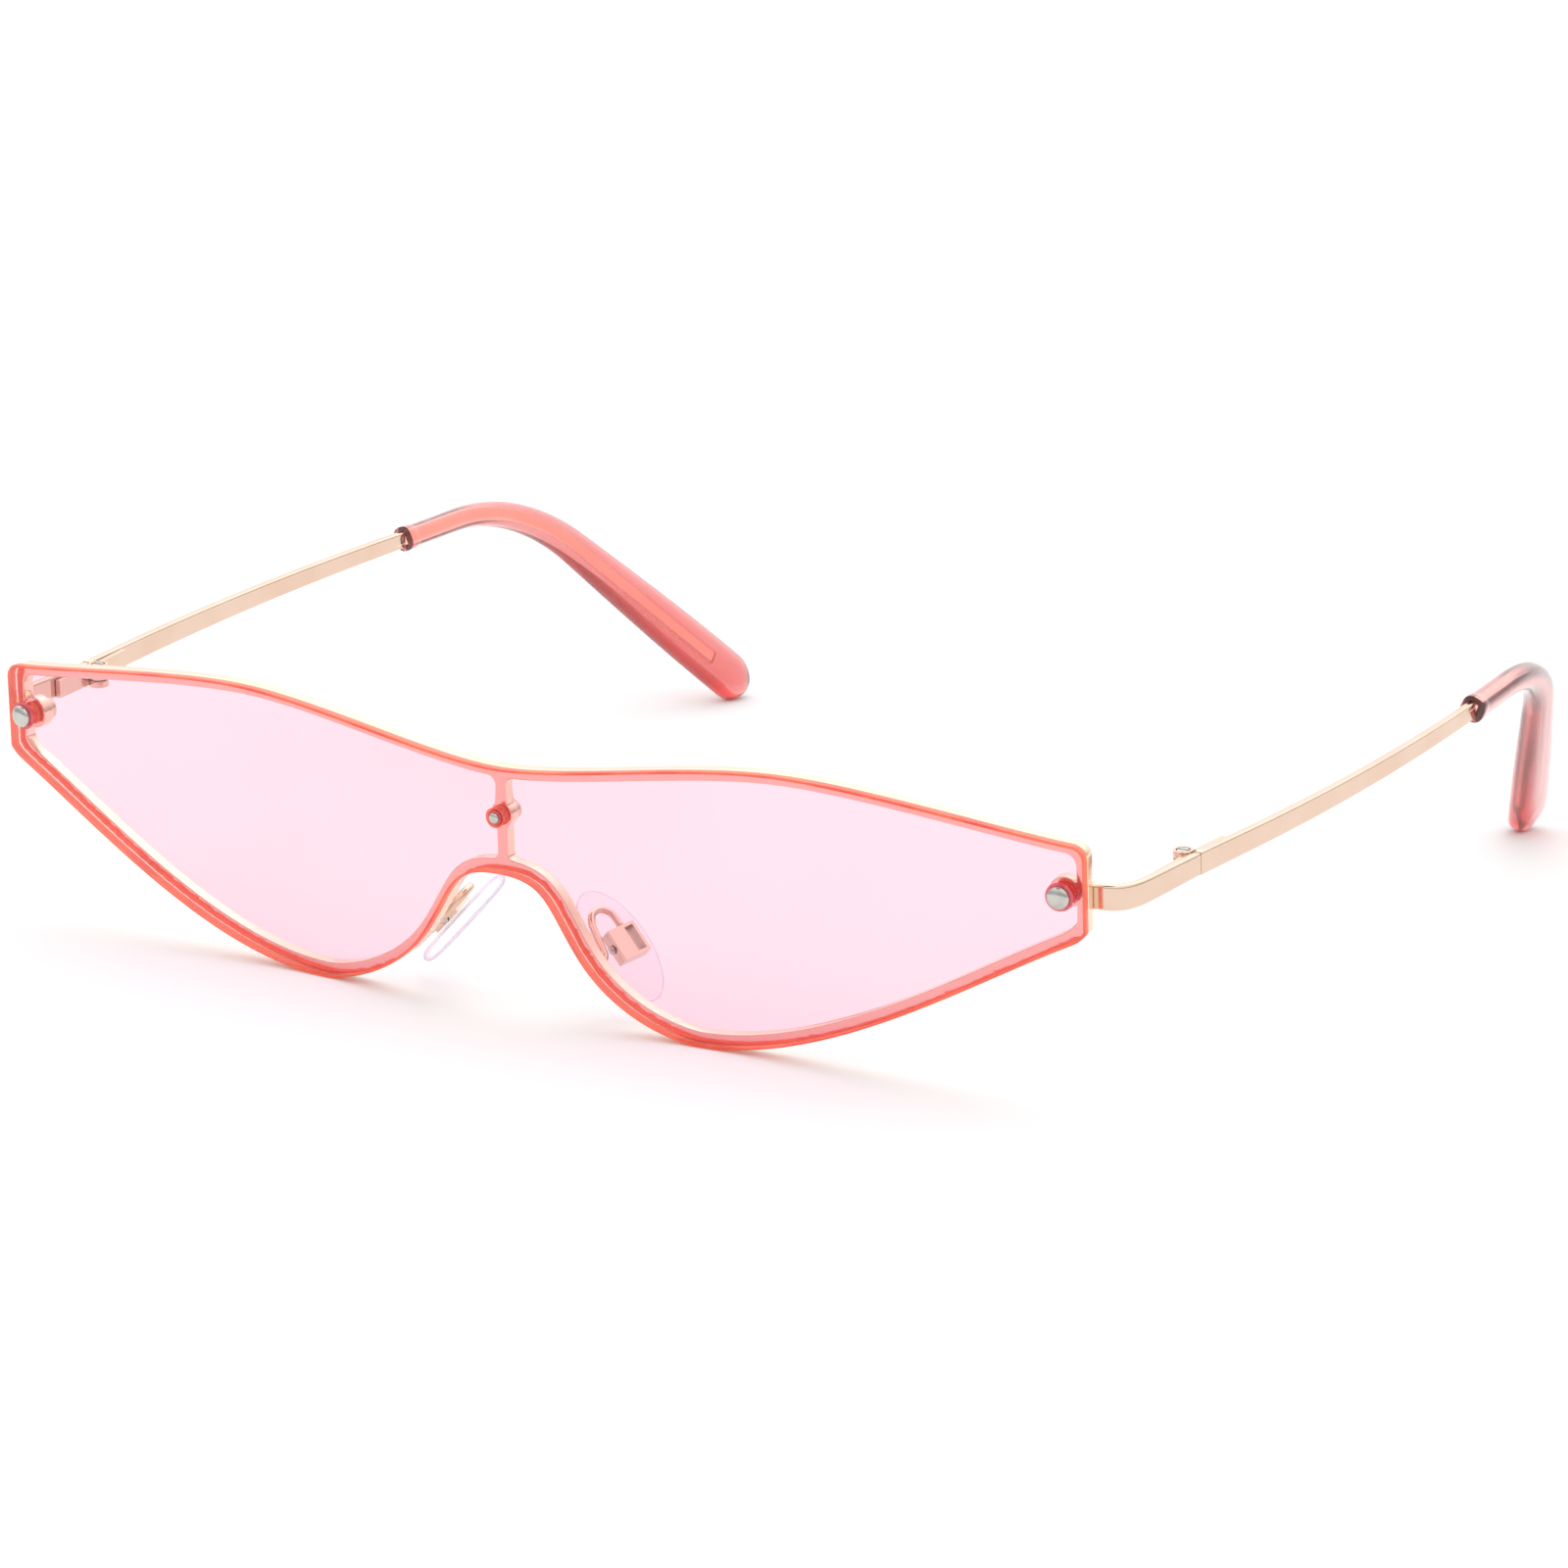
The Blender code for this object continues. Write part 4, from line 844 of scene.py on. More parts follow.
def only_material(mesh: bpy.types.Mesh, material: bpy.types.Material) -> bpy.types.Mesh:
    """The mesh with one material, on every face."""
    mesh.materials.clear()
    mesh.materials.append(material)
    for face in mesh.polygons:
        face.material_index = 0
    return mesh


def with_modifiers(mesh: bpy.types.Mesh, add: Callable[[bpy.types.Object], None]) -> bpy.types.Mesh:
    """The mesh after modifiers that a function adds to an object that holds it."""
    obj = bpy.data.objects.new("work", mesh)
    bpy.context.scene.collection.objects.link(obj)
    add(obj)
    result = evaluated_mesh(obj)
    bpy.data.objects.remove(obj, do_unlink=True)
    return result


def combined(first: bpy.types.Mesh, second: bpy.types.Mesh, operation: str) -> bpy.types.Mesh:
    """Two solids made one by a Boolean.

    Args:
        first: The solid that is kept.
        second: The one that is added or cut away.
        operation: UNION or DIFFERENCE.

    Returns:
        The mesh.
    """
    other = bpy.data.objects.new("other", second)
    bpy.context.scene.collection.objects.link(other)

    def add(obj: bpy.types.Object) -> None:
        """Adds the Boolean."""
        boolean = obj.modifiers.new("combine", "BOOLEAN")
        boolean.operation, boolean.solver, boolean.object = operation, "EXACT", other

    result = with_modifiers(first, add)
    bpy.data.objects.remove(other, do_unlink=True)
    return result


def bevelled(mesh: bpy.types.Mesh, width: float, segments: int = 2, angle: float = 35.0) -> bpy.types.Mesh:
    """The mesh with its sharp edges rounded."""

    def add(obj: bpy.types.Object) -> None:
        """Adds the bevel."""
        bevel = obj.modifiers.new("round", "BEVEL")
        bevel.width, bevel.segments = width, segments
        bevel.limit_method, bevel.angle_limit = "ANGLE", math.radians(angle)
        bevel.use_clamp_overlap = True

    return with_modifiers(mesh, add)


def shaded(mesh: bpy.types.Mesh, angle: float = 40.0) -> bpy.types.Mesh:
    """The mesh shaded smooth, with weighted normals, and sharp over the angle."""
    mesh.shade_smooth()
    mesh.set_sharp_from_angle(angle=math.radians(angle))

    def add(obj: bpy.types.Object) -> None:
        """Adds the weighted normals."""
        weigh = obj.modifiers.new("weigh", "WEIGHTED_NORMAL")
        weigh.keep_sharp = True

    return with_modifiers(mesh, add)


def mirrored(mesh: bpy.types.Mesh) -> bpy.types.Mesh:
    """A copy of the mesh on the other side of the middle plane, facing outwards."""
    copy = mesh.copy()
    copy.transform(Matrix.Diagonal((-1, 1, 1, 1)))
    copy.flip_normals()
    return copy


def sided(mesh: bpy.types.Mesh, side: Side) -> bpy.types.Mesh:
    """A right-hand mesh as it is, or mirrored for the left-hand side."""
    return mesh if side is Side.RIGHT else mirrored(mesh)


class Bench:
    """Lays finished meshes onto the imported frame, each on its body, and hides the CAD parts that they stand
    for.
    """

    def __init__(self, hinge: Vector, open_angle: float) -> None:
        """Finds the lens frame.

        Args:
            hinge: The right-hand hinge's place in the lens frame.
            open_angle: How far the temples stand outwards at rest.
        """
        fold = next(joint for joint in frame["joints"] if joint["name"] == "right_temple_fold")
        up = Vector(fold["axis"]).normalized()
        right = Vector((1.0, 0.0, 0.0))
        back = up.cross(right)
        turn = Matrix((right, back, up)).transposed()
        origin = Vector(fold["pos_m"]) - turn @ hinge
        self.lens_frame = Matrix.Translation(origin) @ turn.to_4x4()
        self.hinge = hinge
        self.open_angle = open_angle

    def opened(self, side: Side) -> Matrix:
        """The turn that brings an unturned temple piece to its rest."""
        place = Matrix.Translation((self.hinge.x * side.value, self.hinge.y, self.hinge.z))
        return place @ Matrix.Rotation(-side.value * self.open_angle, 4, "Z") @ place.inverted()

    def lay(self, name: str, mesh: bpy.types.Mesh, body: Body, slot: Slot, replaces: Sequence[str],
            opened: Optional[Side] = None, in_place: bool = False) -> bpy.types.Object:
        """One finished piece on the frame.

        Args:
            name: The piece's name.
            mesh: Its mesh, in the lens frame with the hinges unturned.
            body: What it rides on.
            slot: The record's slot of its finish. Not used.
            replaces: The CAD nodes that it stands for.
            opened: The side of the hinge that it turns with, if it does.
            in_place: True if the mesh is already in the row frame.

        Returns:
            The object.
        """
        if not in_place:
            turn = self.opened(opened) if opened else Matrix.Identity(4)
            mesh.transform(self.lens_frame @ turn)
        mesh.name = name
        obj = bpy.data.objects.new(name, mesh)
        bpy.context.scene.collection.objects.link(obj)
        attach(obj, body.value)
        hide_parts(*replaces)
        log.info("%s: %d faces on %s", name, len(mesh.polygons), body.value)
        return obj

    @staticmethod
    def refined(node: str, bevel: float, material: bpy.types.Material, segments: int = 2) -> bpy.types.Mesh:
        """A CAD node's mesh with its triangles merged, its edges rounded and its finish on."""
        mesh = frame["nodes"][node].data.copy()

        def merge(shape: bmesh.types.BMesh) -> None:
            """Merges the triangles into flat faces."""
            bmesh.ops.remove_doubles(shape, verts=shape.verts, dist=CAD_WELD)
            bmesh.ops.dissolve_limit(
                shape, angle_limit=math.radians(1), verts=shape.verts, edges=shape.edges
            )
            bmesh.ops.recalc_face_normals(shape, faces=shape.faces)

        mesh = bevelled(reshaped(mesh, merge), bevel, segments)
        return shaded(only_material(mesh, material))


# ---------------------------------------------------------------- outlines


def bezier(start: Points, start_handle: Points, end_handle: Points, end: Points, steps: int) -> Points:
    """Points along a flat Bezier curve."""
    knots = [Vector((*knot, 0)) for knot in (start, start_handle, end_handle, end)]
    return np.array([(p.x, p.y) for p in interpolate_bezier(*knots, steps)])


def offset(path: Points, distance: float) -> Points:
    """The path moved to its right-hand side."""
    tangent = np.gradient(path, axis=0)
    tangent /= np.linalg.norm(tangent, axis=1)[:, None]
    return path + distance * np.column_stack([tangent[:, 1], -tangent[:, 0]])


def between(path: Points, low: float, high: float) -> Points:
    """The part of a path between two values of x, ended exactly there."""
    x, z = path[:, 0], path[:, 1]
    order = np.argsort(x)
    inside = path[(x > low) & (x < high)]
    ends = [(end, np.interp(end, x[order], z[order])) for end in (low, high)]
    if x[0] > x[-1]:
        ends.reverse()
    return np.vstack([ends[0], inside, ends[1]])


def shortened(path: Points, radius: float, other: Points) -> tuple[Points, Points, Points]:
    """The path without what a fillet takes at its start, its new start and its direction there."""
    first = path[1] - path[0]
    second = other[1] - other[0] if np.allclose(other[0], path[0]) else other[-2] - other[-1]
    first, second = first / np.linalg.norm(first), second / np.linalg.norm(second)
    opening = math.acos(max(-1.0, min(1.0, float(np.dot(first, second)))))
    cut = radius / math.tan(opening / 2)
    length = np.concatenate([[0], np.cumsum(np.linalg.norm(np.diff(path, axis=0), axis=1))])
    cut = min(cut, length[-1] * 0.8)
    start = np.array([np.interp(cut, length, path[:, k]) for k in (0, 1)])
    kept = path[length > cut + 1e-6]
    along = kept[0] - start
    return np.vstack([start, kept]), start, along / np.linalg.norm(along)


def filleted(paths: Sequence[Any], radii: Sequence[Optional[float]], steps: int = 12) -> Points:
    """Paths joined end to start, with an arc of the given radius over each join.

    Args:
        paths: The paths, in order.
        radii: Each join's radius. The last belongs to the join of the last path and the
            first one, and None leaves the two ends open.
        steps: Points on each arc.

    Returns:
        The joined path.
    """
    paths = [np.array(path, float) for path in paths]
    arcs: list[Optional[Points]] = []
    for index, radius in enumerate(radii):
        if not radius:
            arcs.append(None)
            continue
        before, after = paths[index], paths[(index + 1) % len(paths)]
        before, start, along = shortened(before[::-1], radius, after)
        after, end, back = shortened(after, radius, before)
        paths[index], paths[(index + 1) % len(paths)] = before[::-1], after
        turn = math.pi - math.acos(max(-1.0, min(1.0, float(np.dot(along, back)))))
        handle = 4 / 3 * math.tan(turn / 4) * radius
        arcs.append(bezier(start, start - along * handle, end - back * handle, end, steps)[1:-1])
    pieces = []
    for path, arc in zip(paths, arcs):
        pieces += [path] if arc is None else [path, arc]
    return np.vstack(pieces)


def arc_points(centre: Sequence[float], radius: float, start: float, end: float, steps: int) -> Points:
    """Points on an arc, with its angles in degrees."""
    angles = np.radians(np.linspace(start, end, steps))
    return np.column_stack([centre[0] + radius * np.cos(angles), centre[1] + radius * np.sin(angles)])


def circle(centre: Sequence[float], diameter: float, segments: int = 64) -> Points:
    """Points round a circle."""
    return arc_points(centre, diameter / 2, 0, 360 * (1 - 1 / segments), segments)


def flat_plate(loops: Sequence[Points], thickness: float, edge: float) -> bpy.types.Mesh:
    """A plate in 0 <= y <= thickness, with rounded edges.

    Args:
        loops: Closed outlines in x and z. The first bounds the plate and the rest cut holes.
        thickness: Its thickness.
        edge: The radius of its edges.

    Returns:
        The mesh.
    """
    curve = bpy.data.curves.new("plate", "CURVE")
    curve.dimensions = "2D"
    curve.fill_mode = "BOTH"
    curve.extrude = thickness / 2 - edge
    curve.bevel_depth = edge
    curve.bevel_resolution = 2
    curve.offset = -edge
    for number, loop in enumerate(loops):
        x, z = loop[:, 0], loop[:, 1]
        area = float(np.dot(x, np.roll(z, -1)) - np.dot(z, np.roll(x, -1)))
        if (area > 0) != (number == 0):
            loop = loop[::-1]
        spline = curve.splines.new("POLY")
        spline.points.add(len(loop) - 1)
        spline.use_cyclic_u = True
        for point, (x, z) in zip(spline.points, loop):
            point.co = (x, z, 0.0, 1.0)
    obj = bpy.data.objects.new("plate", curve)
    bpy.context.scene.collection.objects.link(obj)
    mesh = evaluated_mesh(obj)
    bpy.data.objects.remove(obj, do_unlink=True)
    mesh.transform(Matrix.Translation((0, thickness / 2, 0)) @ Matrix.Rotation(math.pi / 2, 4, "X"))
    return faced_out(mesh)


def sliced(mesh: bpy.types.Mesh, reach: float, step: float) -> bpy.types.Mesh:
    """The mesh with extra edges at even steps along X."""

    def work(shape: bmesh.types.BMesh) -> None:
        """Cuts at each step."""
        count = math.ceil(reach / step)
        for k in range(-count, count + 1):
            geometry = shape.verts[:] + shape.edges[:] + shape.faces[:]
            bmesh.ops.bisect_plane(
                shape, geom=geometry, dist=WELD, plane_co=(k * step, 0.0, 0.0), plane_no=(1, 0, 0)
            )

    return reshaped(mesh, work)


@dataclass
class LensShape:
    """The lens's outline and curve, which the frame behind it shares."""

    half_width: float = 75.0 * MM
    sagitta: float = 6.8 * MM
    thickness: float = 1.2 * MM
    top_middle_z: float = 12.4 * MM
    brow: tuple[float, float] = (37.2 * MM, 16.5 * MM)
    upper_corner_z: float = 12.3 * MM
    lower_corner_z: float = 1.4 * MM
    lower_corner_slope: float = 0.45
    lobe: tuple[float, float] = (26.2 * MM, -17.5 * MM)
    flank: tuple[float, float] = (10.3 * MM, -8.8 * MM)
    flank_slope: float = 1.45
    arch_z: float = -0.5 * MM
    corner_radii: tuple[float, float] = (1.6 * MM, 1.2 * MM)
    top_reach: float = 9.3 * MM
    brow_reaches: tuple[float, float] = (12.1 * MM, 12.4 * MM)
    corner_reaches: tuple[float, float] = (4.3 * MM, 14.5 * MM)
    lobe_reaches: tuple[float, float] = (17.8 * MM, 1.6 * MM)
    flank_reaches: tuple[float, float] = (9.2 * MM, 6.8 * MM)
    arch_reach: float = 6.5 * MM
    least_fillet: float = 0.3 * MM
    pin_z: float = 6.4 * MM
    side_pin_inset: float = 2.9 * MM
    steps: int = 40

    @property
    def side_pin_x(self) -> float:
        """The side pins' distance from the middle."""
        return self.half_width - self.side_pin_inset

    def top_path(self) -> Points:
        """The lens's top edge, from the middle line to the outer corner."""
        middle = np.array([0.0, self.top_middle_z])
        brow = np.array(self.brow)
        corner = np.array([self.half_width, self.upper_corner_z])
        inner, outer = self.brow_reaches
        rise = bezier(middle, middle + [self.top_reach, 0], brow - [inner, 0], brow, self.steps)
        fall = bezier(brow, brow + [outer, 0], corner - [self.corner_reaches[0], 0], corner, self.steps)
        return np.vstack([rise, fall[1:]])

    def bottom_path(self) -> Points:
        """The lens's bottom edge, from the outer corner round the lobe to the nose arch."""
        corner = np.array([self.half_width, self.lower_corner_z])
        lobe, flank = np.array(self.lobe), np.array(self.flank)
        arch = np.array([0.0, self.arch_z])
        slope = self.lower_corner_slope
        along_corner = np.array([-1, -slope]) / math.hypot(1, slope)
        along_flank = np.array([-1, self.flank_slope]) / math.hypot(1, self.flank_slope)
        outer_start = corner + along_corner * self.corner_reaches[1]
        outer = bezier(corner, outer_start, lobe + [self.lobe_reaches[0], 0], lobe, self.steps)
        inner_end = flank - along_flank * self.flank_reaches[0]
        inner = bezier(lobe, lobe - [self.lobe_reaches[1], 0], inner_end, flank, self.steps)
        nose_start = flank + along_flank * self.flank_reaches[1]
        nose = bezier(flank, nose_start, arch + [self.arch_reach, 0], arch, self.steps)
        return np.vstack([outer, inner[1:], nose[1:]])

    def outline(self, inset: float) -> Points:
        """The whole closed outline at an inset."""
        side_x = self.half_width - inset
        top = between(offset(self.top_path(), inset), 0.0, side_x)
        bottom = between(offset(self.bottom_path(), inset), 0.0, side_x)
        side = np.array([top[-1], bottom[0]])
        corners = [max(radius - inset, self.least_fillet) for radius in self.corner_radii]
        half = filleted([top, side, bottom], [*corners, None])
        return np.vstack([half, (half * [-1, 1])[-2:0:-1]])

    def normal(self, x: float) -> Vector:
        """The way back from the lens's front, square to its surface."""
        slope = 2 * self.sagitta * x / self.half_width**2
        return Vector((-slope, 1.0, 0.0)).normalized()

    def surface(self, x: float, depth: float, z: float) -> Vector:
        """The point at this depth behind the lens's curved front."""
        front = Vector((x, self.sagitta * (x / self.half_width) ** 2, z))
        return front + self.normal(x) * depth

    def bent(self, mesh: bpy.types.Mesh) -> bpy.types.Mesh:
        """A flat plate laid onto the lens's curve, its y taken as the depth."""
        for vertex in mesh.vertices:
            vertex.co = self.surface(*vertex.co)
        return mesh


# ---------------------------------------------------------------- sub-assemblies


@dataclass
class ShieldLens:
    """The one-piece tinted lens with its three pin holes."""

    bench: Bench
    finishes: Finishes
    shape: LensShape
    hole_diameters: tuple[float, float] = (2.2 * MM, 1.9 * MM)
    edge_radius: float = 0.28 * MM
    flat_share: float = 0.985
    slice_step: float = 2.0 * MM

    def build(self) -> None:
        """Makes the lens. Its rounded edge has the edge's finish."""
        shape = self.shape
        side_hole, centre_hole = self.hole_diameters
        holes = [circle((x * shape.side_pin_x, shape.pin_z), side_hole) for x in (-1, 1)]
        holes.append(circle((0.0, shape.pin_z), centre_hole))
        mesh = flat_plate([shape.outline(0.0), *holes], shape.thickness, self.edge_radius)
        mesh = sliced(mesh, shape.half_width, self.slice_step)
        mesh.materials.clear()
        mesh.materials.append(self.finishes.lens)
        mesh.materials.append(self.finishes.lens_edge)
        for face in mesh.polygons:
            face.material_index = int(abs(face.normal.y) < self.flat_share)
        mesh = shaded(shape.bent(mesh))
        self.bench.lay("lens_shield_polished", mesh, Body.FRONT, Slot.LENS, ["shield_lens"])


@dataclass
class FrontFrame:
    """The stamped gold rim behind the lens, with its post, boss and side tabs."""

    bench: Bench
    finishes: Finishes
    shape: LensShape
    rim_inset: float = 0.1 * MM
    rim_width: float = 1.4 * MM
    rim_thickness: float = 1.55 * MM
    rim_gap: float = 0.15 * MM
    post_width: float = 1.45 * MM
    post_flare: float = 1.0 * MM
    boss_diameter: float = 3.0 * MM
    tab_diameter: float = 3.8 * MM
    window_corner_radius: float = 1.3 * MM
    tab_fillet: float = 0.5 * MM
    hole_diameters: tuple[float, float] = (1.4 * MM, 1.0 * MM)
    edge_radius: float = 0.16 * MM
    slice_step: float = 2.0 * MM

    def window(self) -> Points:
        """The opening right of the post: the rim, the pin's tab and the post's boss bound it."""
        shape = self.shape
        inset = self.rim_inset + self.rim_width
        side_x, post_x = shape.half_width - inset, self.post_width / 2
        top = between(offset(shape.top_path(), inset), post_x, side_x)
        bottom = between(offset(shape.bottom_path(), inset), post_x, side_x)
        tab, boss = self.tab_diameter / 2, self.boss_diameter / 2
        tab_reach = math.sqrt(tab**2 - (side_x - shape.side_pin_x) ** 2)
        swing = math.degrees(math.asin(tab_reach / tab))
        tab_arc = arc_points((shape.side_pin_x, shape.pin_z), tab, swing, 360 - swing, 49)
        boss_reach = math.sqrt(boss**2 - post_x**2)
        boss_swing = math.degrees(math.atan2(boss_reach, post_x))
        boss_arc = arc_points((0, shape.pin_z), boss, -boss_swing, boss_swing, 33)
        upper_side = [(side_x, top[-1][1]), tab_arc[0]]
        lower_side = [tab_arc[-1], (side_x, bottom[0][1])]
        lower_post = [(post_x, bottom[-1][1]), boss_arc[0]]
        upper_post = [boss_arc[-1], (post_x, top[0][1])]
        corner, small, flare = self.window_corner_radius, self.tab_fillet, self.post_flare
        paths = [top, upper_side, tab_arc, lower_side, bottom, lower_post, boss_arc, upper_post]
        return filleted(paths, [corner, small, small, corner, flare, small, small, flare])

    def build(self) -> None:
        """Makes the frame."""
        shape = self.shape
        window = self.window()
        side_hole, centre_hole = self.hole_diameters
        holes = [circle((x * shape.side_pin_x, shape.pin_z), side_hole, 32) for x in (-1, 1)]
        holes.append(circle((0.0, shape.pin_z), centre_hole, 32))
        loops = [shape.outline(self.rim_inset), window, window[::-1] * [-1, 1], *holes]
        mesh = flat_plate(loops, self.rim_thickness, self.edge_radius)
        mesh.transform(Matrix.Translation((0, shape.thickness + self.rim_gap, 0)))
        mesh = sliced(mesh, shape.half_width, self.slice_step)
        # The rim's gold is painted brighter: painted light.
        only_material(mesh, self.finishes.gold_rim)
        self.bench.lay(
            "front_rim_polished", shaded(shape.bent(mesh)), Body.FRONT, Slot.GOLD, ["front_frame"]
        )

    @property
    def back_depth(self) -> float:
        """How far the frame's back lies behind the lens's front."""
        return self.shape.thickness + self.rim_gap + self.rim_thickness


@dataclass(frozen=True)
class PinSizes:
    """One kind of lens pin with its bush and nut."""

    head: float
    head_height: float
    shank: float
    bush: float
    flange: float = 0.0


@dataclass
class LensFixings:
    """The pins that hold the lens, the bushes round them and the nuts behind the frame."""

    bench: Bench
    finishes: Finishes
    shape: LensShape
    front: FrontFrame
    turned: TurnedTree
    side: PinSizes = PinSizes(2.7 * MM, 0.75 * MM, 1.2 * MM, 2.0 * MM, 3.4 * MM)
    centre: PinSizes = PinSizes(1.3 * MM, 0.35 * MM, 0.8 * MM, 1.7 * MM)
    fit: float = 0.1 * MM
    flange_thickness: float = 0.35 * MM
    nut_wall: float = 0.75 * MM
    nut_length: float = 1.1 * MM
    nut_chamfer: float = 0.25 * MM
    rim_share: float = 0.2
    edge: float = 0.06 * MM

    def place(self, x: float) -> tuple[Vector, Vector]:
        """A pin hole's middle on the lens's front, and the way forward out of it."""
        return self.shape.surface(x, 0.0, self.shape.pin_z), -self.shape.normal(x)

    def dome(self, radius: float, base: float, height: float, steps: int = 14) -> list[tuple[float, float]]:
        """Profile points of a domed head, from its axis down to its rim."""
        angles = [math.pi / 2 * (1 - k / steps) for k in range(steps + 1)]
        return [(radius * math.cos(a), base + height * math.sin(a)) for a in angles]

    def build(self) -> None:
        """Makes the pins, bushes and nuts."""
        side_x = self.shape.side_pin_x
        for kind, sizes, names, spots in (
            ("side", self.side, ("left", "right"), (-side_x, side_x)),
            ("centre", self.centre, ("centre",), (0.0,)),
        ):
            places = [self.place(x) for x in spots]
            for part, profile, material, slot in (
                ("pin", self.pin_profile(sizes), self.finishes.steel, Slot.STEEL),
                ("bush", self.bush_profile(sizes), self.finishes.bush, Slot.BUSH),
                ("nut", self.nut_profile(sizes), self.finishes.gold, Slot.GOLD),
            ):
                mesh = self.turned.make(f"{kind}_{part}", profile, places, material)
                replaced = [f"lens_{part}_{name}" for name in names]
                self.bench.lay(f"{kind}_{part}_turned", shaded(mesh, 50), Body.FRONT, slot, replaced)

    def pin_profile(self, sizes: PinSizes) -> list[tuple[float, float]]:
        """The pin: a domed head and a shank through to the nut."""
        seat = self.flange_thickness + self.fit if sizes.flange else 0.0
        base, rim = seat + self.fit, self.rim_share * sizes.head_height
        end = -(self.front.back_depth + self.nut_length + 2 * self.fit)
        shank, edge = sizes.shank / 2, self.edge
        profile = self.dome(sizes.head / 2, base + rim, sizes.head_height - rim)
        profile += [(sizes.head / 2, base + edge / 2), (sizes.head / 2 - edge / 2, base), (shank, base)]
        profile += [(shank, end + edge), (shank - edge, end), (0.0, end)]
        return profile

    def bush_profile(self, sizes: PinSizes) -> list[tuple[float, float]]:
        """The bush: a sleeve in the lens's hole, with a rounded flange on the side pins."""
        bore, outer, low = sizes.shank / 2 + self.fit, sizes.bush / 2, -self.shape.thickness
        if not sizes.flange:
            ring = [(outer, low), (bore, low), (bore, 0.0), (outer, 0.0)]
            return [*ring, ring[0]]
        seat, flange = self.flange_thickness + self.fit, sizes.flange / 2
        roll = (seat - self.fit) / 2
        edge = [
            (flange - roll + roll * math.cos(a), self.fit + roll + roll * math.sin(a))
            for a in (math.pi / 2 - math.pi * k / 10 for k in range(11))
        ]
        ring = [(outer, low), (bore, low), (bore, seat), *edge, (outer, self.fit)]
        return [*ring, ring[0]]

    def nut_profile(self, sizes: PinSizes) -> list[tuple[float, float]]:
        """The round nut behind the frame, chamfered at its back."""
        near = -(self.front.back_depth + self.fit)
        far = near - self.nut_length
        outer, bore, cut = sizes.shank / 2 + self.nut_wall, sizes.shank / 2 + self.fit, self.nut_chamfer
        edge = self.edge
        ring = [(outer - edge, near), (outer, near - edge), (outer, far + cut), (outer - cut, far)]
        ring += [(bore + edge, far), (bore, far + edge), (bore, near)]
        return [*ring, ring[0]]


@dataclass
class EndPieces:
    """The strips that run from the rim round to the hinges."""

    bench: Bench
    finishes: Finishes
    shape: LensShape
    front: FrontFrame
    swept: SweptTree
    arm_outstand: float = 3.05 * MM
    arm_thickness: float = 1.1 * MM
    arm_z: float = 5.2 * MM
    arm_height: float = 2.8 * MM
    hinge_setback: float = 19.6 * MM
    seam: float = 0.3 * MM
    height: float = 3.1 * MM
    middle_z: float = 5.6 * MM
    bend_x: float = 1.0 * MM
    bend_depth: float = 6.0 * MM
    bend_reaches: tuple[float, float] = (2.4 * MM, 3.4 * MM)
    solder_gap: float = 0.1 * MM
    pin_clearance: float = 1.35 * MM
    fit: float = 0.1 * MM
    corner: float = 0.45 * MM
    bend_steps: int = 40

    @property
    def arm_x(self) -> float:
        """The middle of the arm's thickness, from the middle line."""
        return self.shape.half_width + self.arm_outstand

    @property
    def hinge_y(self) -> float:
        """The hinge pin's distance behind the lens's middle."""
        return self.shape.sagitta + self.hinge_setback

    def path(self) -> list[Vector]:
        """The strip's middle line in plan."""
        shape = self.shape
        back = self.front.back_depth + self.solder_gap + self.arm_thickness / 2
        start = shape.surface(shape.side_pin_x + self.pin_clearance + 2 * self.fit, back, 0.0)
        bend = shape.surface(shape.half_width + self.bend_x, back, 0.0)
        end = Vector((self.arm_x, self.hinge_y - self.seam / 2, 0.0))
        turn_end = Vector((self.arm_x, bend.y + self.bend_depth, 0.0))
        near, far = self.bend_reaches
        bend_handle = bend + (bend - start).normalized() * near
        turn_handle = turn_end - Vector((0, far, 0))
        curve = interpolate_bezier(bend, bend_handle, turn_handle, turn_end, self.bend_steps)
        lead = [start.lerp(bend, k / 4) for k in range(4)]
        tail = [turn_end.lerp(end, k / 12) for k in range(1, 13)]
        return [*lead, *curve, *tail]

    def build(self) -> None:
        """Makes both end pieces."""
        path = self.path()
        rings = []
        for index, point in enumerate(path):
            ahead = path[min(index + 1, len(path) - 1)] - path[max(index - 1, 0)]
            across = ahead.normalized().cross(UP) * self.arm_thickness / 2
            share = (point.y - path[0].y) / (path[-1].y - path[0].y)
            height = self.height + (self.arm_height - self.height) * share
            middle = point + UP * (self.middle_z + (self.arm_z - self.middle_z) * share)
            rings.append(Ring(middle, across, UP * height / 2, share))
        rings = eased_ends(rings, 0.08 * MM)
        section = Section(corner=self.corner, segments=32)
        for side in Side:
            # The end pieces' gold has painted shade where other pieces come close.
            mesh = self.swept.make("endpiece", rings, section, self.finishes.gold_fitted)
            mesh = shaded(sided(mesh, side), 50)
            self.bench.lay(
                f"endpiece_polished_{side.word}", mesh, Body.FRONT, Slot.GOLD, [f"endpiece_{side.word}"]
            )


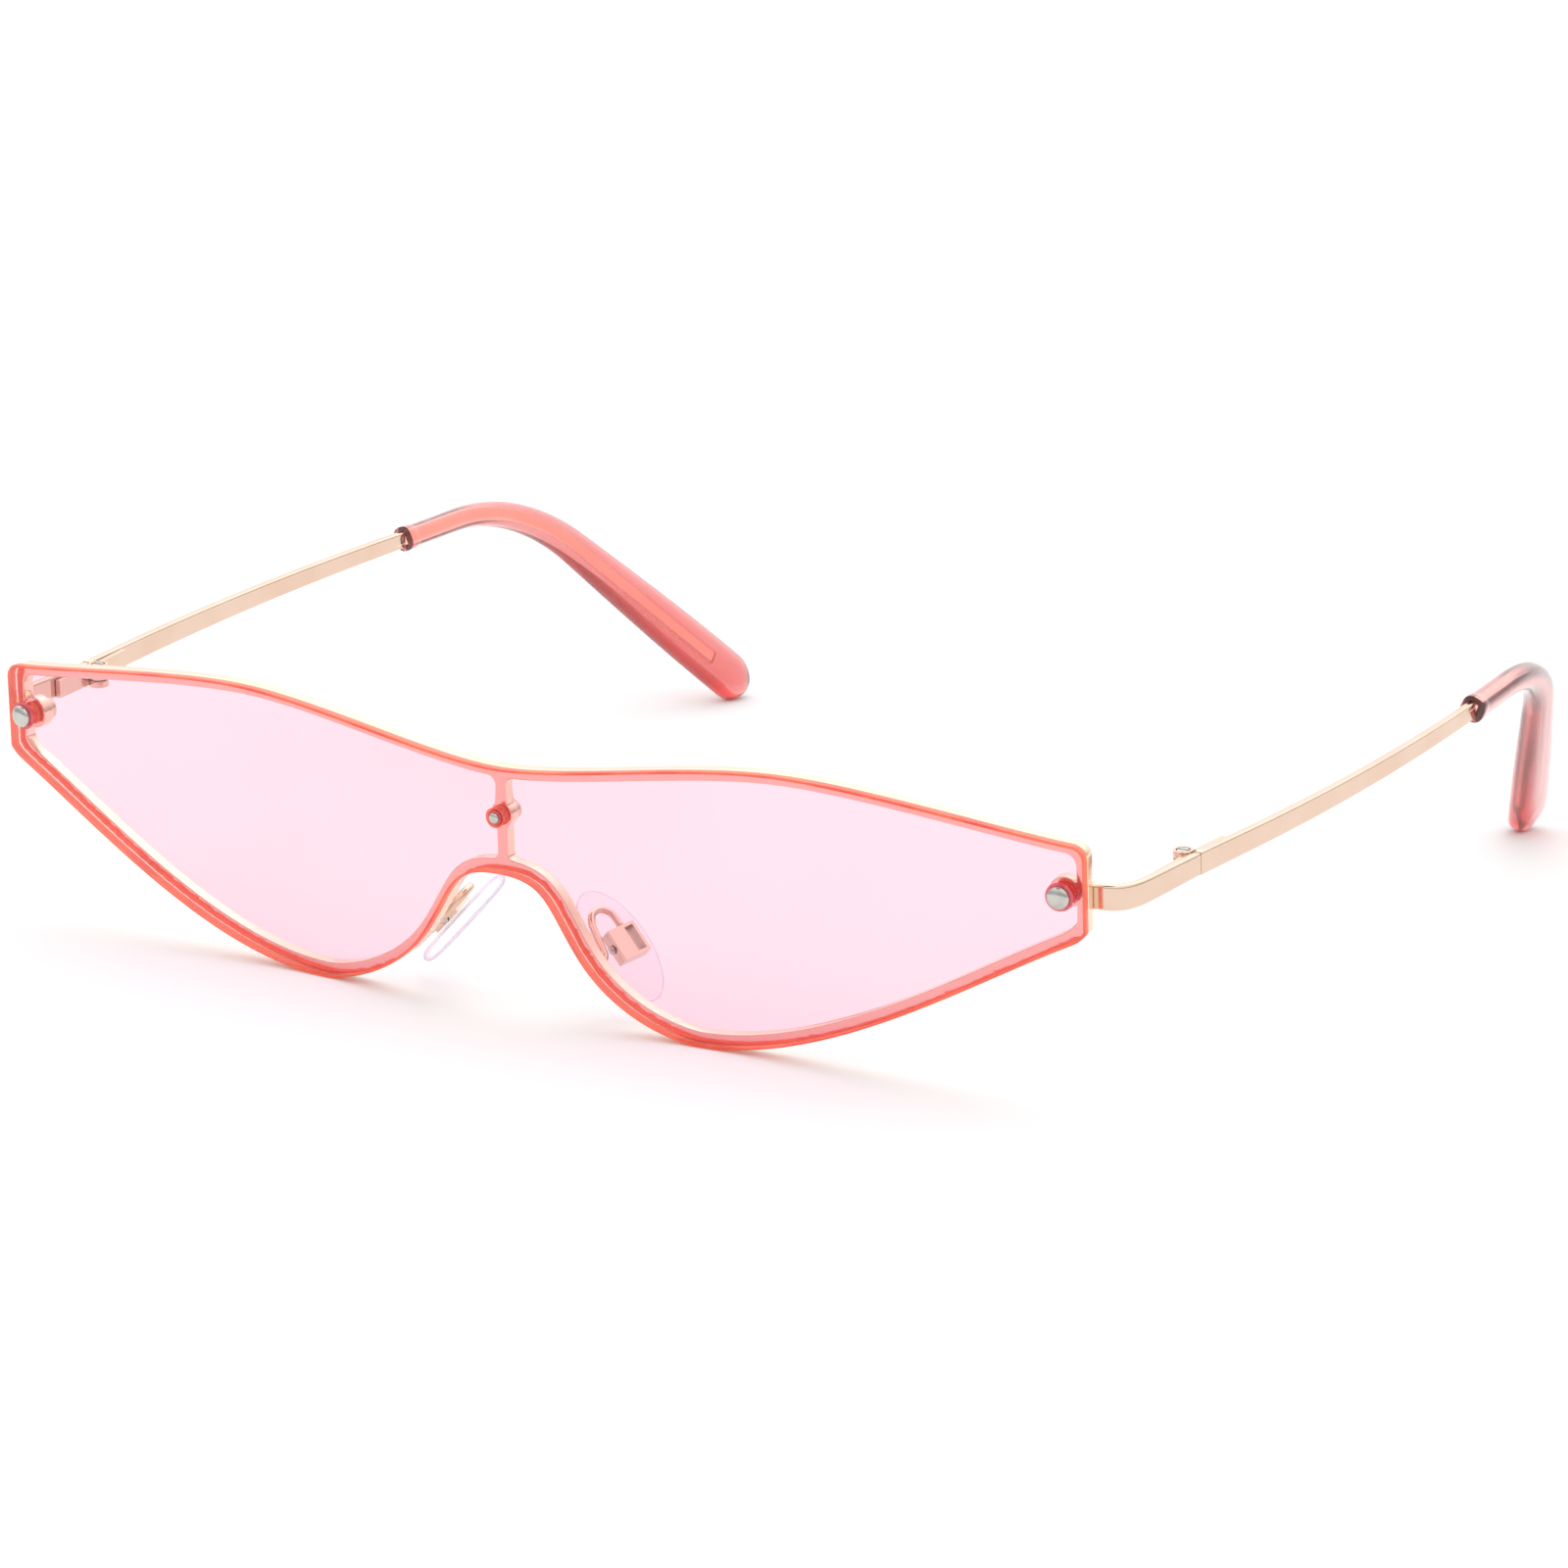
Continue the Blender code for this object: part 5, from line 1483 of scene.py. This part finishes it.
def eased_ends(rings: Sequence[Ring], ease: float) -> list[Ring]:
    """The rings with a small chamfer at both ends."""
    result = list(rings)
    for end, neighbour, at_start in ((result[0], result[1], True), (result[-1], result[-2], False)):
        inward = (neighbour.middle - end.middle).normalized() * ease
        full = Ring(end.middle + inward, end.across, end.upward, end.along)
        small = Ring(
            end.middle,
            end.across - end.across.normalized() * ease,
            end.upward - end.upward.normalized() * ease,
            end.along,
        )
        if at_start:
            result[0:1] = [small, full]
        else:
            result[-1:] = [full, small]
    return result


@dataclass
class Hinges:
    """The leaves, knuckles and slotted screws of the two hinges."""

    bench: Bench
    finishes: Finishes
    bevel: float = 0.06 * MM

    def build(self) -> None:
        """Makes both hinges."""
        for side in Side:
            # The hinge leaves' gold has painted shade where other pieces come close.
            for part, body, material, slot in (
                ("hinge_front_leaf", Body.FRONT, self.finishes.gold_fitted, Slot.GOLD),
                ("hinge_temple_leaf", Body.temple(side), self.finishes.gold_fitted, Slot.GOLD),
                ("hinge_screw", Body.FRONT, self.finishes.steel, Slot.STEEL),
            ):
                node = f"{part}_{side.word}"
                mesh = self.bench.refined(node, self.bevel if part != "hinge_screw" else 0.03 * MM, material)
                self.bench.lay(f"{node}_polished", mesh, body, slot, [node], in_place=True)


@dataclass
class Temples:
    """The bowed metal arms with their cores, and the acetate tips round the cores."""

    bench: Bench
    finishes: Finishes
    ends: EndPieces
    swept: SweptTree
    arm_length: float = 66.0 * MM
    arm_straight: float = 8.5 * MM
    arm_bow: float = math.radians(9.0)
    arm_height_back: float = 2.1 * MM
    sleeve_z: float = 4.45 * MM
    sleeve_straight: float = 10.0 * MM
    ear_radius: float = 25.0 * MM
    ear_angle: float = math.radians(50.0)
    tip_straight: float = 32.5 * MM
    ear_tilt: float = math.radians(24.5)
    tip_breadths: tuple[float, float] = (2.9 * MM, 6.6 * MM)
    tip_thicknesses: tuple[float, float] = (2.8 * MM, 3.5 * MM)
    swell_range: tuple[float, float] = (0.12, 0.90)
    squareness: float = 2.6
    collar_length: float = 1.3 * MM
    collar_proud: float = 0.15 * MM
    core_sizes: tuple[float, float] = (1.3 * MM, 0.7 * MM)
    core_margin: float = 7.0 * MM
    core_fit: float = 0.15 * MM
    core_root: float = 2.0 * MM
    corner: float = 0.3 * MM

    def arm_place(self, length: float) -> tuple[Vector, Vector]:
        """(middle of the arm, its direction) at a length behind its front end."""
        ends = self.ends
        front = Vector((ends.arm_x, ends.hinge_y + ends.seam / 2, 0))
        radius = (self.arm_length - self.arm_straight) / self.arm_bow
        turn = max(length - self.arm_straight, 0.0) / radius
        forward = min(length, self.arm_straight) + radius * math.sin(turn)
        height = ends.arm_z + (self.sleeve_z - ends.arm_z) * length / self.arm_length
        point = front + Vector((-radius * (1 - math.cos(turn)), forward, height))
        return point, Vector((-math.sin(turn), math.cos(turn), 0))

    def ear_place(self, length: float) -> tuple[Vector, Vector, Vector]:
        """(point, direction, in-plane normal) at a length behind the sleeve's mouth."""
        start, back = self.arm_place(self.arm_length)
        outward = back.cross(UP)
        drop = -outward * math.sin(self.ear_tilt) - UP * math.cos(self.ear_tilt)
        bend = min(max(length - self.sleeve_straight, 0.0) / self.ear_radius, self.ear_angle)
        point = start + back * (min(length, self.sleeve_straight) + self.ear_radius * math.sin(bend))
        point += drop * self.ear_radius * (1 - math.cos(bend))
        along = back * math.cos(bend) + drop * math.sin(bend)
        rest = length - self.sleeve_straight - self.ear_radius * self.ear_angle
        if rest > 0:
            point += along * rest
        return point, along, drop * math.cos(bend) - back * math.sin(bend)

    @property
    def tip_length(self) -> float:
        """The tip's length along its middle."""
        return self.sleeve_straight + self.ear_radius * self.ear_angle + self.tip_straight

    def arm_rings(self) -> list[Ring]:
        """The arm's sections, from the hinge to the sleeve's mouth."""
        rings = []
        for length in np.linspace(0.0, self.arm_length - self.core_fit, 60):
            point, along = self.arm_place(length)
            height = self.ends.arm_height
            height += (self.arm_height_back - height) * length / self.arm_length
            across = along.cross(UP) * self.ends.arm_thickness / 2
            rings.append(Ring(point, across, UP * height / 2, length / self.arm_length))
        return eased_ends(rings, 0.08 * MM)

    def core_rings(self, grow: float) -> list[Ring]:
        """The core's sections down the tip, or its channel's where they grow."""
        breadth, thickness = self.core_sizes
        rings = []
        for length in np.linspace(-self.core_root, self.tip_length - self.core_margin + grow, 70):
            point, along, inward = self.ear_place(length)
            side = along.cross(inward) * (thickness / 2 + grow)
            rings.append(Ring(point, side, inward * (breadth / 2 + grow), length / self.tip_length))
        return rings

    def tip_rings(self) -> list[Ring]:
        """The sleeve's sections: a collar at its mouth, a slim shaft and a paddle with a round end."""
        total = self.tip_length
        breadth_start, breadth_end = self.tip_breadths
        thin, thick = self.tip_thicknesses
        proud = self.collar_proud
        spots: list[tuple[float, float, float]] = []
        for length, extra in (
            (0.0, proud - 0.12 * MM), (0.05 * MM, proud - 0.03 * MM), (0.15 * MM, proud),
            (self.collar_length - 0.1 * MM, proud), (self.collar_length, proud - 0.04 * MM),
            (self.collar_length + 0.15 * MM, 0.02 * MM), (self.collar_length + 0.3 * MM, 0.0),
        ):
            spots.append((length, breadth_start + 2 * extra, thin + 2 * extra))
        low, high = self.swell_range
        body = np.linspace(self.collar_length + 0.8 * MM, total - breadth_end / 2, 70)
        breadth = thickness = 0.0
        for length in body:
            share = min(max((length / total - low) / (high - low), 0.0), 1.0)
            grown = share * share * (3 - 2 * share)
            breadth = breadth_start + (breadth_end - breadth_start) * grown
            thickness = thin + (thick - thin) * grown
            spots.append((length, breadth, thickness))
        for angle in np.radians(np.linspace(6, 87, 18)):
            length = total - breadth_end / 2 * (1 - math.sin(angle))
            close = math.cos(angle)
            spots.append((length, breadth * close, thickness * math.sqrt(close)))
        rings = []
        for length, wide, deep in spots:
            point, along, inward = self.ear_place(length)
            side = along.cross(inward) * deep / 2
            rings.append(Ring(point, side, inward * wide / 2, length / total))
        return rings

    def build(self) -> None:
        """Makes both temples."""
        gold, tip = self.finishes.gold, self.finishes.tip
        for side in Side:
            word, body = side.word, Body.temple(side)
            section = Section(corner=self.corner, segments=32)
            arm = self.swept.make("arm", self.arm_rings(), section, gold)
            thin = Section(corner=0.1 * MM, segments=16)
            # The core's gold is painted brighter and glows: painted light seen through the acetate.
            core = self.swept.make("core", self.core_rings(0.0), thin, self.finishes.gold_core)
            metal = joined("arm", [arm, core])
            metal = shaded(sided(metal, side), 50)
            self.bench.lay(
                f"temple_arm_polished_{word}", metal, body, Slot.GOLD, [f"temple_arm_{word}"], opened=side
            )
            round_section = Section(squareness=self.squareness, segments=64)
            shell = self.swept.make("tip", self.tip_rings(), round_section, tip)
            channel = self.swept.make("channel", self.core_rings(self.core_fit), thin, tip)
            sleeve = combined(shell, channel, "DIFFERENCE")
            sleeve = shaded(sided(sleeve, side), 40)
            self.bench.lay(
                f"temple_tip_polished_{word}", sleeve, body, Slot.TIP, [f"temple_tip_{word}"], opened=side
            )


def joined(name: str, meshes: Sequence[bpy.types.Mesh]) -> bpy.types.Mesh:
    """Meshes put together in one, each with its own material."""
    mesh = bpy.data.meshes.new(name)
    shape = bmesh.new()
    for index, part in enumerate(meshes):
        start = len(shape.faces)
        shape.from_mesh(part)
        shape.faces.ensure_lookup_table()
        for face in shape.faces[start:]:
            face.material_index = index
    shape.to_mesh(mesh)
    shape.free()
    for part in meshes:
        mesh.materials.append(part.materials[0])
    return mesh


@dataclass
class NosePads:
    """The silicone pads with their lugs, the boxes and screws that hold them, and the bent wires."""

    bench: Bench
    finishes: Finishes
    shape: LensShape
    front: FrontFrame
    turned: TurnedTree
    swept: SweptTree
    centre_x: float = 10.9 * MM
    centre_z: float = -10.1 * MM
    setback: float = 5.7 * MM
    long_axis: tuple[float, float, float] = (0.68, -0.10, -0.73)
    rearward: tuple[float, float, float] = (0.26, 0.96, 0.11)
    length: float = 15.2 * MM
    breadth: float = 8.0 * MM
    thickness: float = 1.6 * MM
    box_length: float = 4.0 * MM
    box_breadth: float = 3.9 * MM
    box_along: float = 0.5 * MM
    box_across: float = -0.45 * MM
    box_wall: float = 0.4 * MM
    lug_size: tuple[float, float, float] = (2.2 * MM, 1.25 * MM, 1.5 * MM)
    wire_diameter: float = 0.9 * MM
    wire_rise: float = 1.3 * MM
    wire_landing: float = 0.15 * MM
    fit: float = 0.1 * MM
    lug_overlap: float = 0.4 * MM
    solder_gap: float = 0.1 * MM
    route_steps: int = 10
    hook: tuple[tuple[float, float], ...] = (
        (1.3, -4.6), (0.6, -4.0), (-1.2, -3.6), (-3.1, -3.2), (-4.3, -2.3), (-4.4, -1.0), (-3.4, 0.0),
    )

    def place(self) -> Matrix:
        """The right-hand pad's own frame: X along it, Y rearward across it, Z away from the nose."""
        long_axis = Vector(self.long_axis).normalized()
        outward = long_axis.cross(Vector(self.rearward)).normalized()
        across = outward.cross(long_axis)
        turn = Matrix((long_axis, across, outward)).transposed()
        depth = self.front.back_depth + self.setback
        return Matrix.Translation((self.centre_x, depth, self.centre_z)) @ turn.to_4x4()

    def cushion(self) -> bpy.types.Mesh:
        """The oval cushion: turned with rounded edges and a faint crown, then stretched."""
        half, radius = self.thickness / 2, self.breadth / 2
        roll = [math.pi / 2 - math.pi * k / 16 for k in range(17)]
        profile = [(0.0, half)]
        profile += [(radius - half + half * math.cos(a), half * math.sin(a)) for a in roll]
        profile.append((0.0, -half))
        mesh = self.turned.make("pad", profile, [(Vector((0, 0, 0)), UP)], self.finishes.silicone, 96)
        mesh.transform(Matrix.Diagonal((self.length / self.breadth, 1, 1, 1)))
        return mesh

    def lug(self) -> bpy.types.Mesh:
        """The lug on the cushion's back. It has no bore, so the box's screw runs through it."""
        long, wide, deep = self.lug_size
        middle = self.box_across - self.box_breadth / 2 + self.box_wall + self.fit + wide / 2
        start, end = self.thickness / 2 - self.lug_overlap, self.thickness / 2 + deep
        rings = [
            Ring(Vector((self.box_along, middle, z)), Vector((long / 2, 0, 0)), Vector((0, wide / 2, 0)))
            for z in (start, end)
        ]
        section = Section(corner=0.2 * MM, segments=24)
        return self.swept.make("lug", eased_ends(rings, 0.1 * MM), section, self.finishes.silicone)

    def wire_route(self) -> list[Vector]:
        """The wire: off the rim's back, up in a hook and down to the box's end."""
        place = self.place()
        rise = self.thickness / 2 + self.wire_rise
        box_end = self.box_along - self.box_length / 2
        route = [place @ Vector((along * MM, across * MM, rise)) for along, across in self.hook]
        route.append(place @ Vector((box_end - self.solder_gap, self.wire_landing, rise)))
        root = route[0].copy()
        root.y = self.shape.surface(root.x, self.front.back_depth + self.solder_gap, 0).y
        return smooth([root, *route], self.route_steps)

    def wire(self) -> bpy.types.Mesh:
        """The bent wire."""
        route = self.wire_route()
        radius = self.wire_diameter / 2
        rings, side = [], Vector((1, 0, 0))
        for index, point in enumerate(route):
            ahead = (route[min(index + 1, len(route) - 1)] - route[max(index - 1, 0)]).normalized()
            side = (side - ahead * side.dot(ahead)).normalized()
            rings.append(Ring(point, side * radius, ahead.cross(side) * radius, index / len(route)))
        return self.swept.make("wire", eased_ends(rings, 0.1 * MM), Section(segments=28), self.finishes.gold)

    def build(self) -> None:
        """Makes both pads with what holds them."""
        for side in Side:
            word = side.word
            pad = combined(self.cushion(), self.lug(), "UNION")
            pad.transform(self.place())
            pad = shaded(sided(pad, side), 50)
            self.bench.lay(f"nose_pad_moulded_{word}", pad, Body.pad(side), Slot.PAD, [f"nose_pad_{word}"])
            wire = shaded(sided(self.wire(), side), 50)
            self.bench.lay(f"pad_wire_{word}", wire, Body.FRONT, Slot.GOLD, [f"pad_arm_{word}"])
            # The pad box's gold has deep painted shade in its window.
            for node, bevel, material, slot in (
                (f"pad_box_{word}", 0.07 * MM, self.finishes.gold_recessed, Slot.GOLD),
                (f"pad_screw_{word}", 0.03 * MM, self.finishes.steel, Slot.STEEL),
            ):
                mesh = self.bench.refined(node, bevel, material)
                self.bench.lay(f"{node}_polished", mesh, Body.FRONT, slot, [node], in_place=True)


def smooth(points: Sequence[Vector], steps: int) -> list[Vector]:
    """Points along a smooth curve through the given ones."""
    padded = [2 * points[0] - points[1], *points, 2 * points[-1] - points[-2]]
    route: list[Vector] = []
    for before, start, end, after in zip(padded, padded[1:], padded[2:], padded[3:]):
        leaving, arriving = start + (end - before) / 6, end - (after - start) / 6
        route += interpolate_bezier(start, leaving, arriving, end, steps + 1)[:-1]
    return [*route, points[-1]]


# ---------------------------------------------------------------- studio


@dataclass
class Studio:
    """A plain pale floor, soft light and the camera."""

    finishes: Finishes
    floor_size: float = 12.0
    camera_place: tuple[float, float, float] = (0.6026, -0.9528, 0.3096)
    camera_back: tuple[float, float, float] = (0.5207, -0.8147, 0.2551)
    camera_right: tuple[float, float, float] = (0.8415, 0.5402, 0.0077)
    focal: float = 220.7
    sensor: float = 36.0
    zenith: float = 1.38
    horizon: float = 0.48
    backdrop: float = 1.0
    card_direction: tuple[float, float, float] = (-0.16, -0.30, 0.94)
    card_angles: tuple[float, float] = (19.0, 14.0)
    card_depth: float = 0.96
    backdrop_rise: float = 0.35
    backdrop_angles: tuple[float, float] = (75.0, 35.0)
    clip: tuple[float, float] = (0.05, 50.0)
    softbox_place: tuple[float, float, float] = (-0.3, 0.5, 1.2)
    softbox_size: float = 1.0
    softbox_power: float = 0.8

    def build(self) -> None:
        """Sets up the floor, the lights and the camera."""
        self.floor()
        self.world()
        self.camera()
        self.softbox()
        bpy.context.scene.view_settings.view_transform = "Standard"

    def floor(self) -> None:
        """The floor, at z = 0."""
        mesh = bpy.data.meshes.new("studio_floor")
        half = self.floor_size / 2
        corners = [(-half, -half, 0), (half, -half, 0), (half, half, 0), (-half, half, 0)]
        mesh.from_pydata(corners, [], [(0, 1, 2, 3)])
        mesh.materials.append(self.finishes.floor)
        obj = bpy.data.objects.new("studio_floor", mesh)
        bpy.context.scene.collection.objects.link(obj)

    def world(self) -> None:
        """Soft light from all round, brighter above."""
        world = bpy.data.worlds.new("studio")
        world.use_nodes = True
        bpy.context.scene.world = world
        nodes = Nodes(world.node_tree)
        world.node_tree.nodes.clear()
        direction = nodes.out("ShaderNodeTexCoord", "Generated")
        parts = nodes.add("ShaderNodeSeparateXYZ", {}, {0: direction})
        height = Value(nodes, parts.outputs["Z"])
        overhead = nodes.step(height, 0.0, 0.95, self.horizon, self.zenith)
        away = (-self.camera_back[0], -self.camera_back[1], self.backdrop_rise)
        behind = self.toward(nodes, direction, away, *self.backdrop_angles)
        card = self.toward(nodes, direction, self.card_direction, *self.card_angles)
        light = overhead + behind * (self.backdrop - self.horizon)
        light = light * (1 - card * self.card_depth)
        shader = nodes.out("ShaderNodeBackground", 0, {}, {"Color": (1, 1, 1, 1), "Strength": light})
        nodes.add("ShaderNodeOutputWorld", {}, {"Surface": shader})

    @staticmethod
    def toward(
        nodes: Nodes, direction: Value, way: tuple[float, float, float], outer: float, inner: float
    ) -> Value:
        """1 near a direction and 0 away from it.

        Args:
            nodes: The world's nodes.
            direction: Where a ray of light comes from.
            way: The direction.
            outer: The angle outside which it is 0, in degrees.
            inner: The angle within which it is 1.

        Returns:
            The share.
        """
        inputs = {0: direction, 1: tuple(Vector(way).normalized())}
        near = nodes.out("ShaderNodeVectorMath", "Value", {"operation": "DOT_PRODUCT"}, inputs)
        return nodes.step(near, math.cos(math.radians(outer)), math.cos(math.radians(inner)))

    def camera(self) -> None:
        """The camera, a little above the glasses and to their right."""
        data = bpy.data.cameras.new("camera")
        data.lens, data.sensor_width = self.focal, self.sensor
        data.clip_start, data.clip_end = self.clip
        obj = bpy.data.objects.new("camera", data)
        bpy.context.scene.collection.objects.link(obj)
        back = Vector(self.camera_back).normalized()
        right = Vector(self.camera_right)
        right = (right - back * right.dot(back)).normalized()
        turn = Matrix((right, back.cross(right), back)).transposed()
        obj.matrix_world = Matrix.Translation(self.camera_place) @ turn.to_4x4()
        bpy.context.scene.camera = obj

    def softbox(self) -> None:
        """A large round softbox above and behind, aimed at the glasses."""
        data = bpy.data.lights.new("softbox_top", "AREA")
        data.shape, data.size, data.energy = "DISK", self.softbox_size, self.softbox_power
        obj = bpy.data.objects.new("softbox_top", data)
        bpy.context.scene.collection.objects.link(obj)
        place = Vector(self.softbox_place)
        turn = place.to_track_quat("Z", "Y").to_matrix().to_4x4()
        obj.matrix_world = Matrix.Translation(place) @ turn


def main() -> None:
    """Builds every sub-assembly in order."""
    logging.basicConfig(level=logging.INFO, format="%(message)s")
    finishes = Finishes()
    turned, swept = TurnedTree(), SweptTree()
    bench = Bench(HINGE, LEAN)
    shape = LensShape()
    front = FrontFrame(bench, finishes, shape)
    ends = EndPieces(bench, finishes, shape, front, swept)
    ShieldLens(bench, finishes, shape).build()
    front.build()
    LensFixings(bench, finishes, shape, front, turned).build()
    ends.build()
    Hinges(bench, finishes).build()
    Temples(bench, finishes, ends, swept).build()
    NosePads(bench, finishes, shape, front, turned, swept).build()
    Studio(finishes).build()


if __name__ == "__main__":
    main()
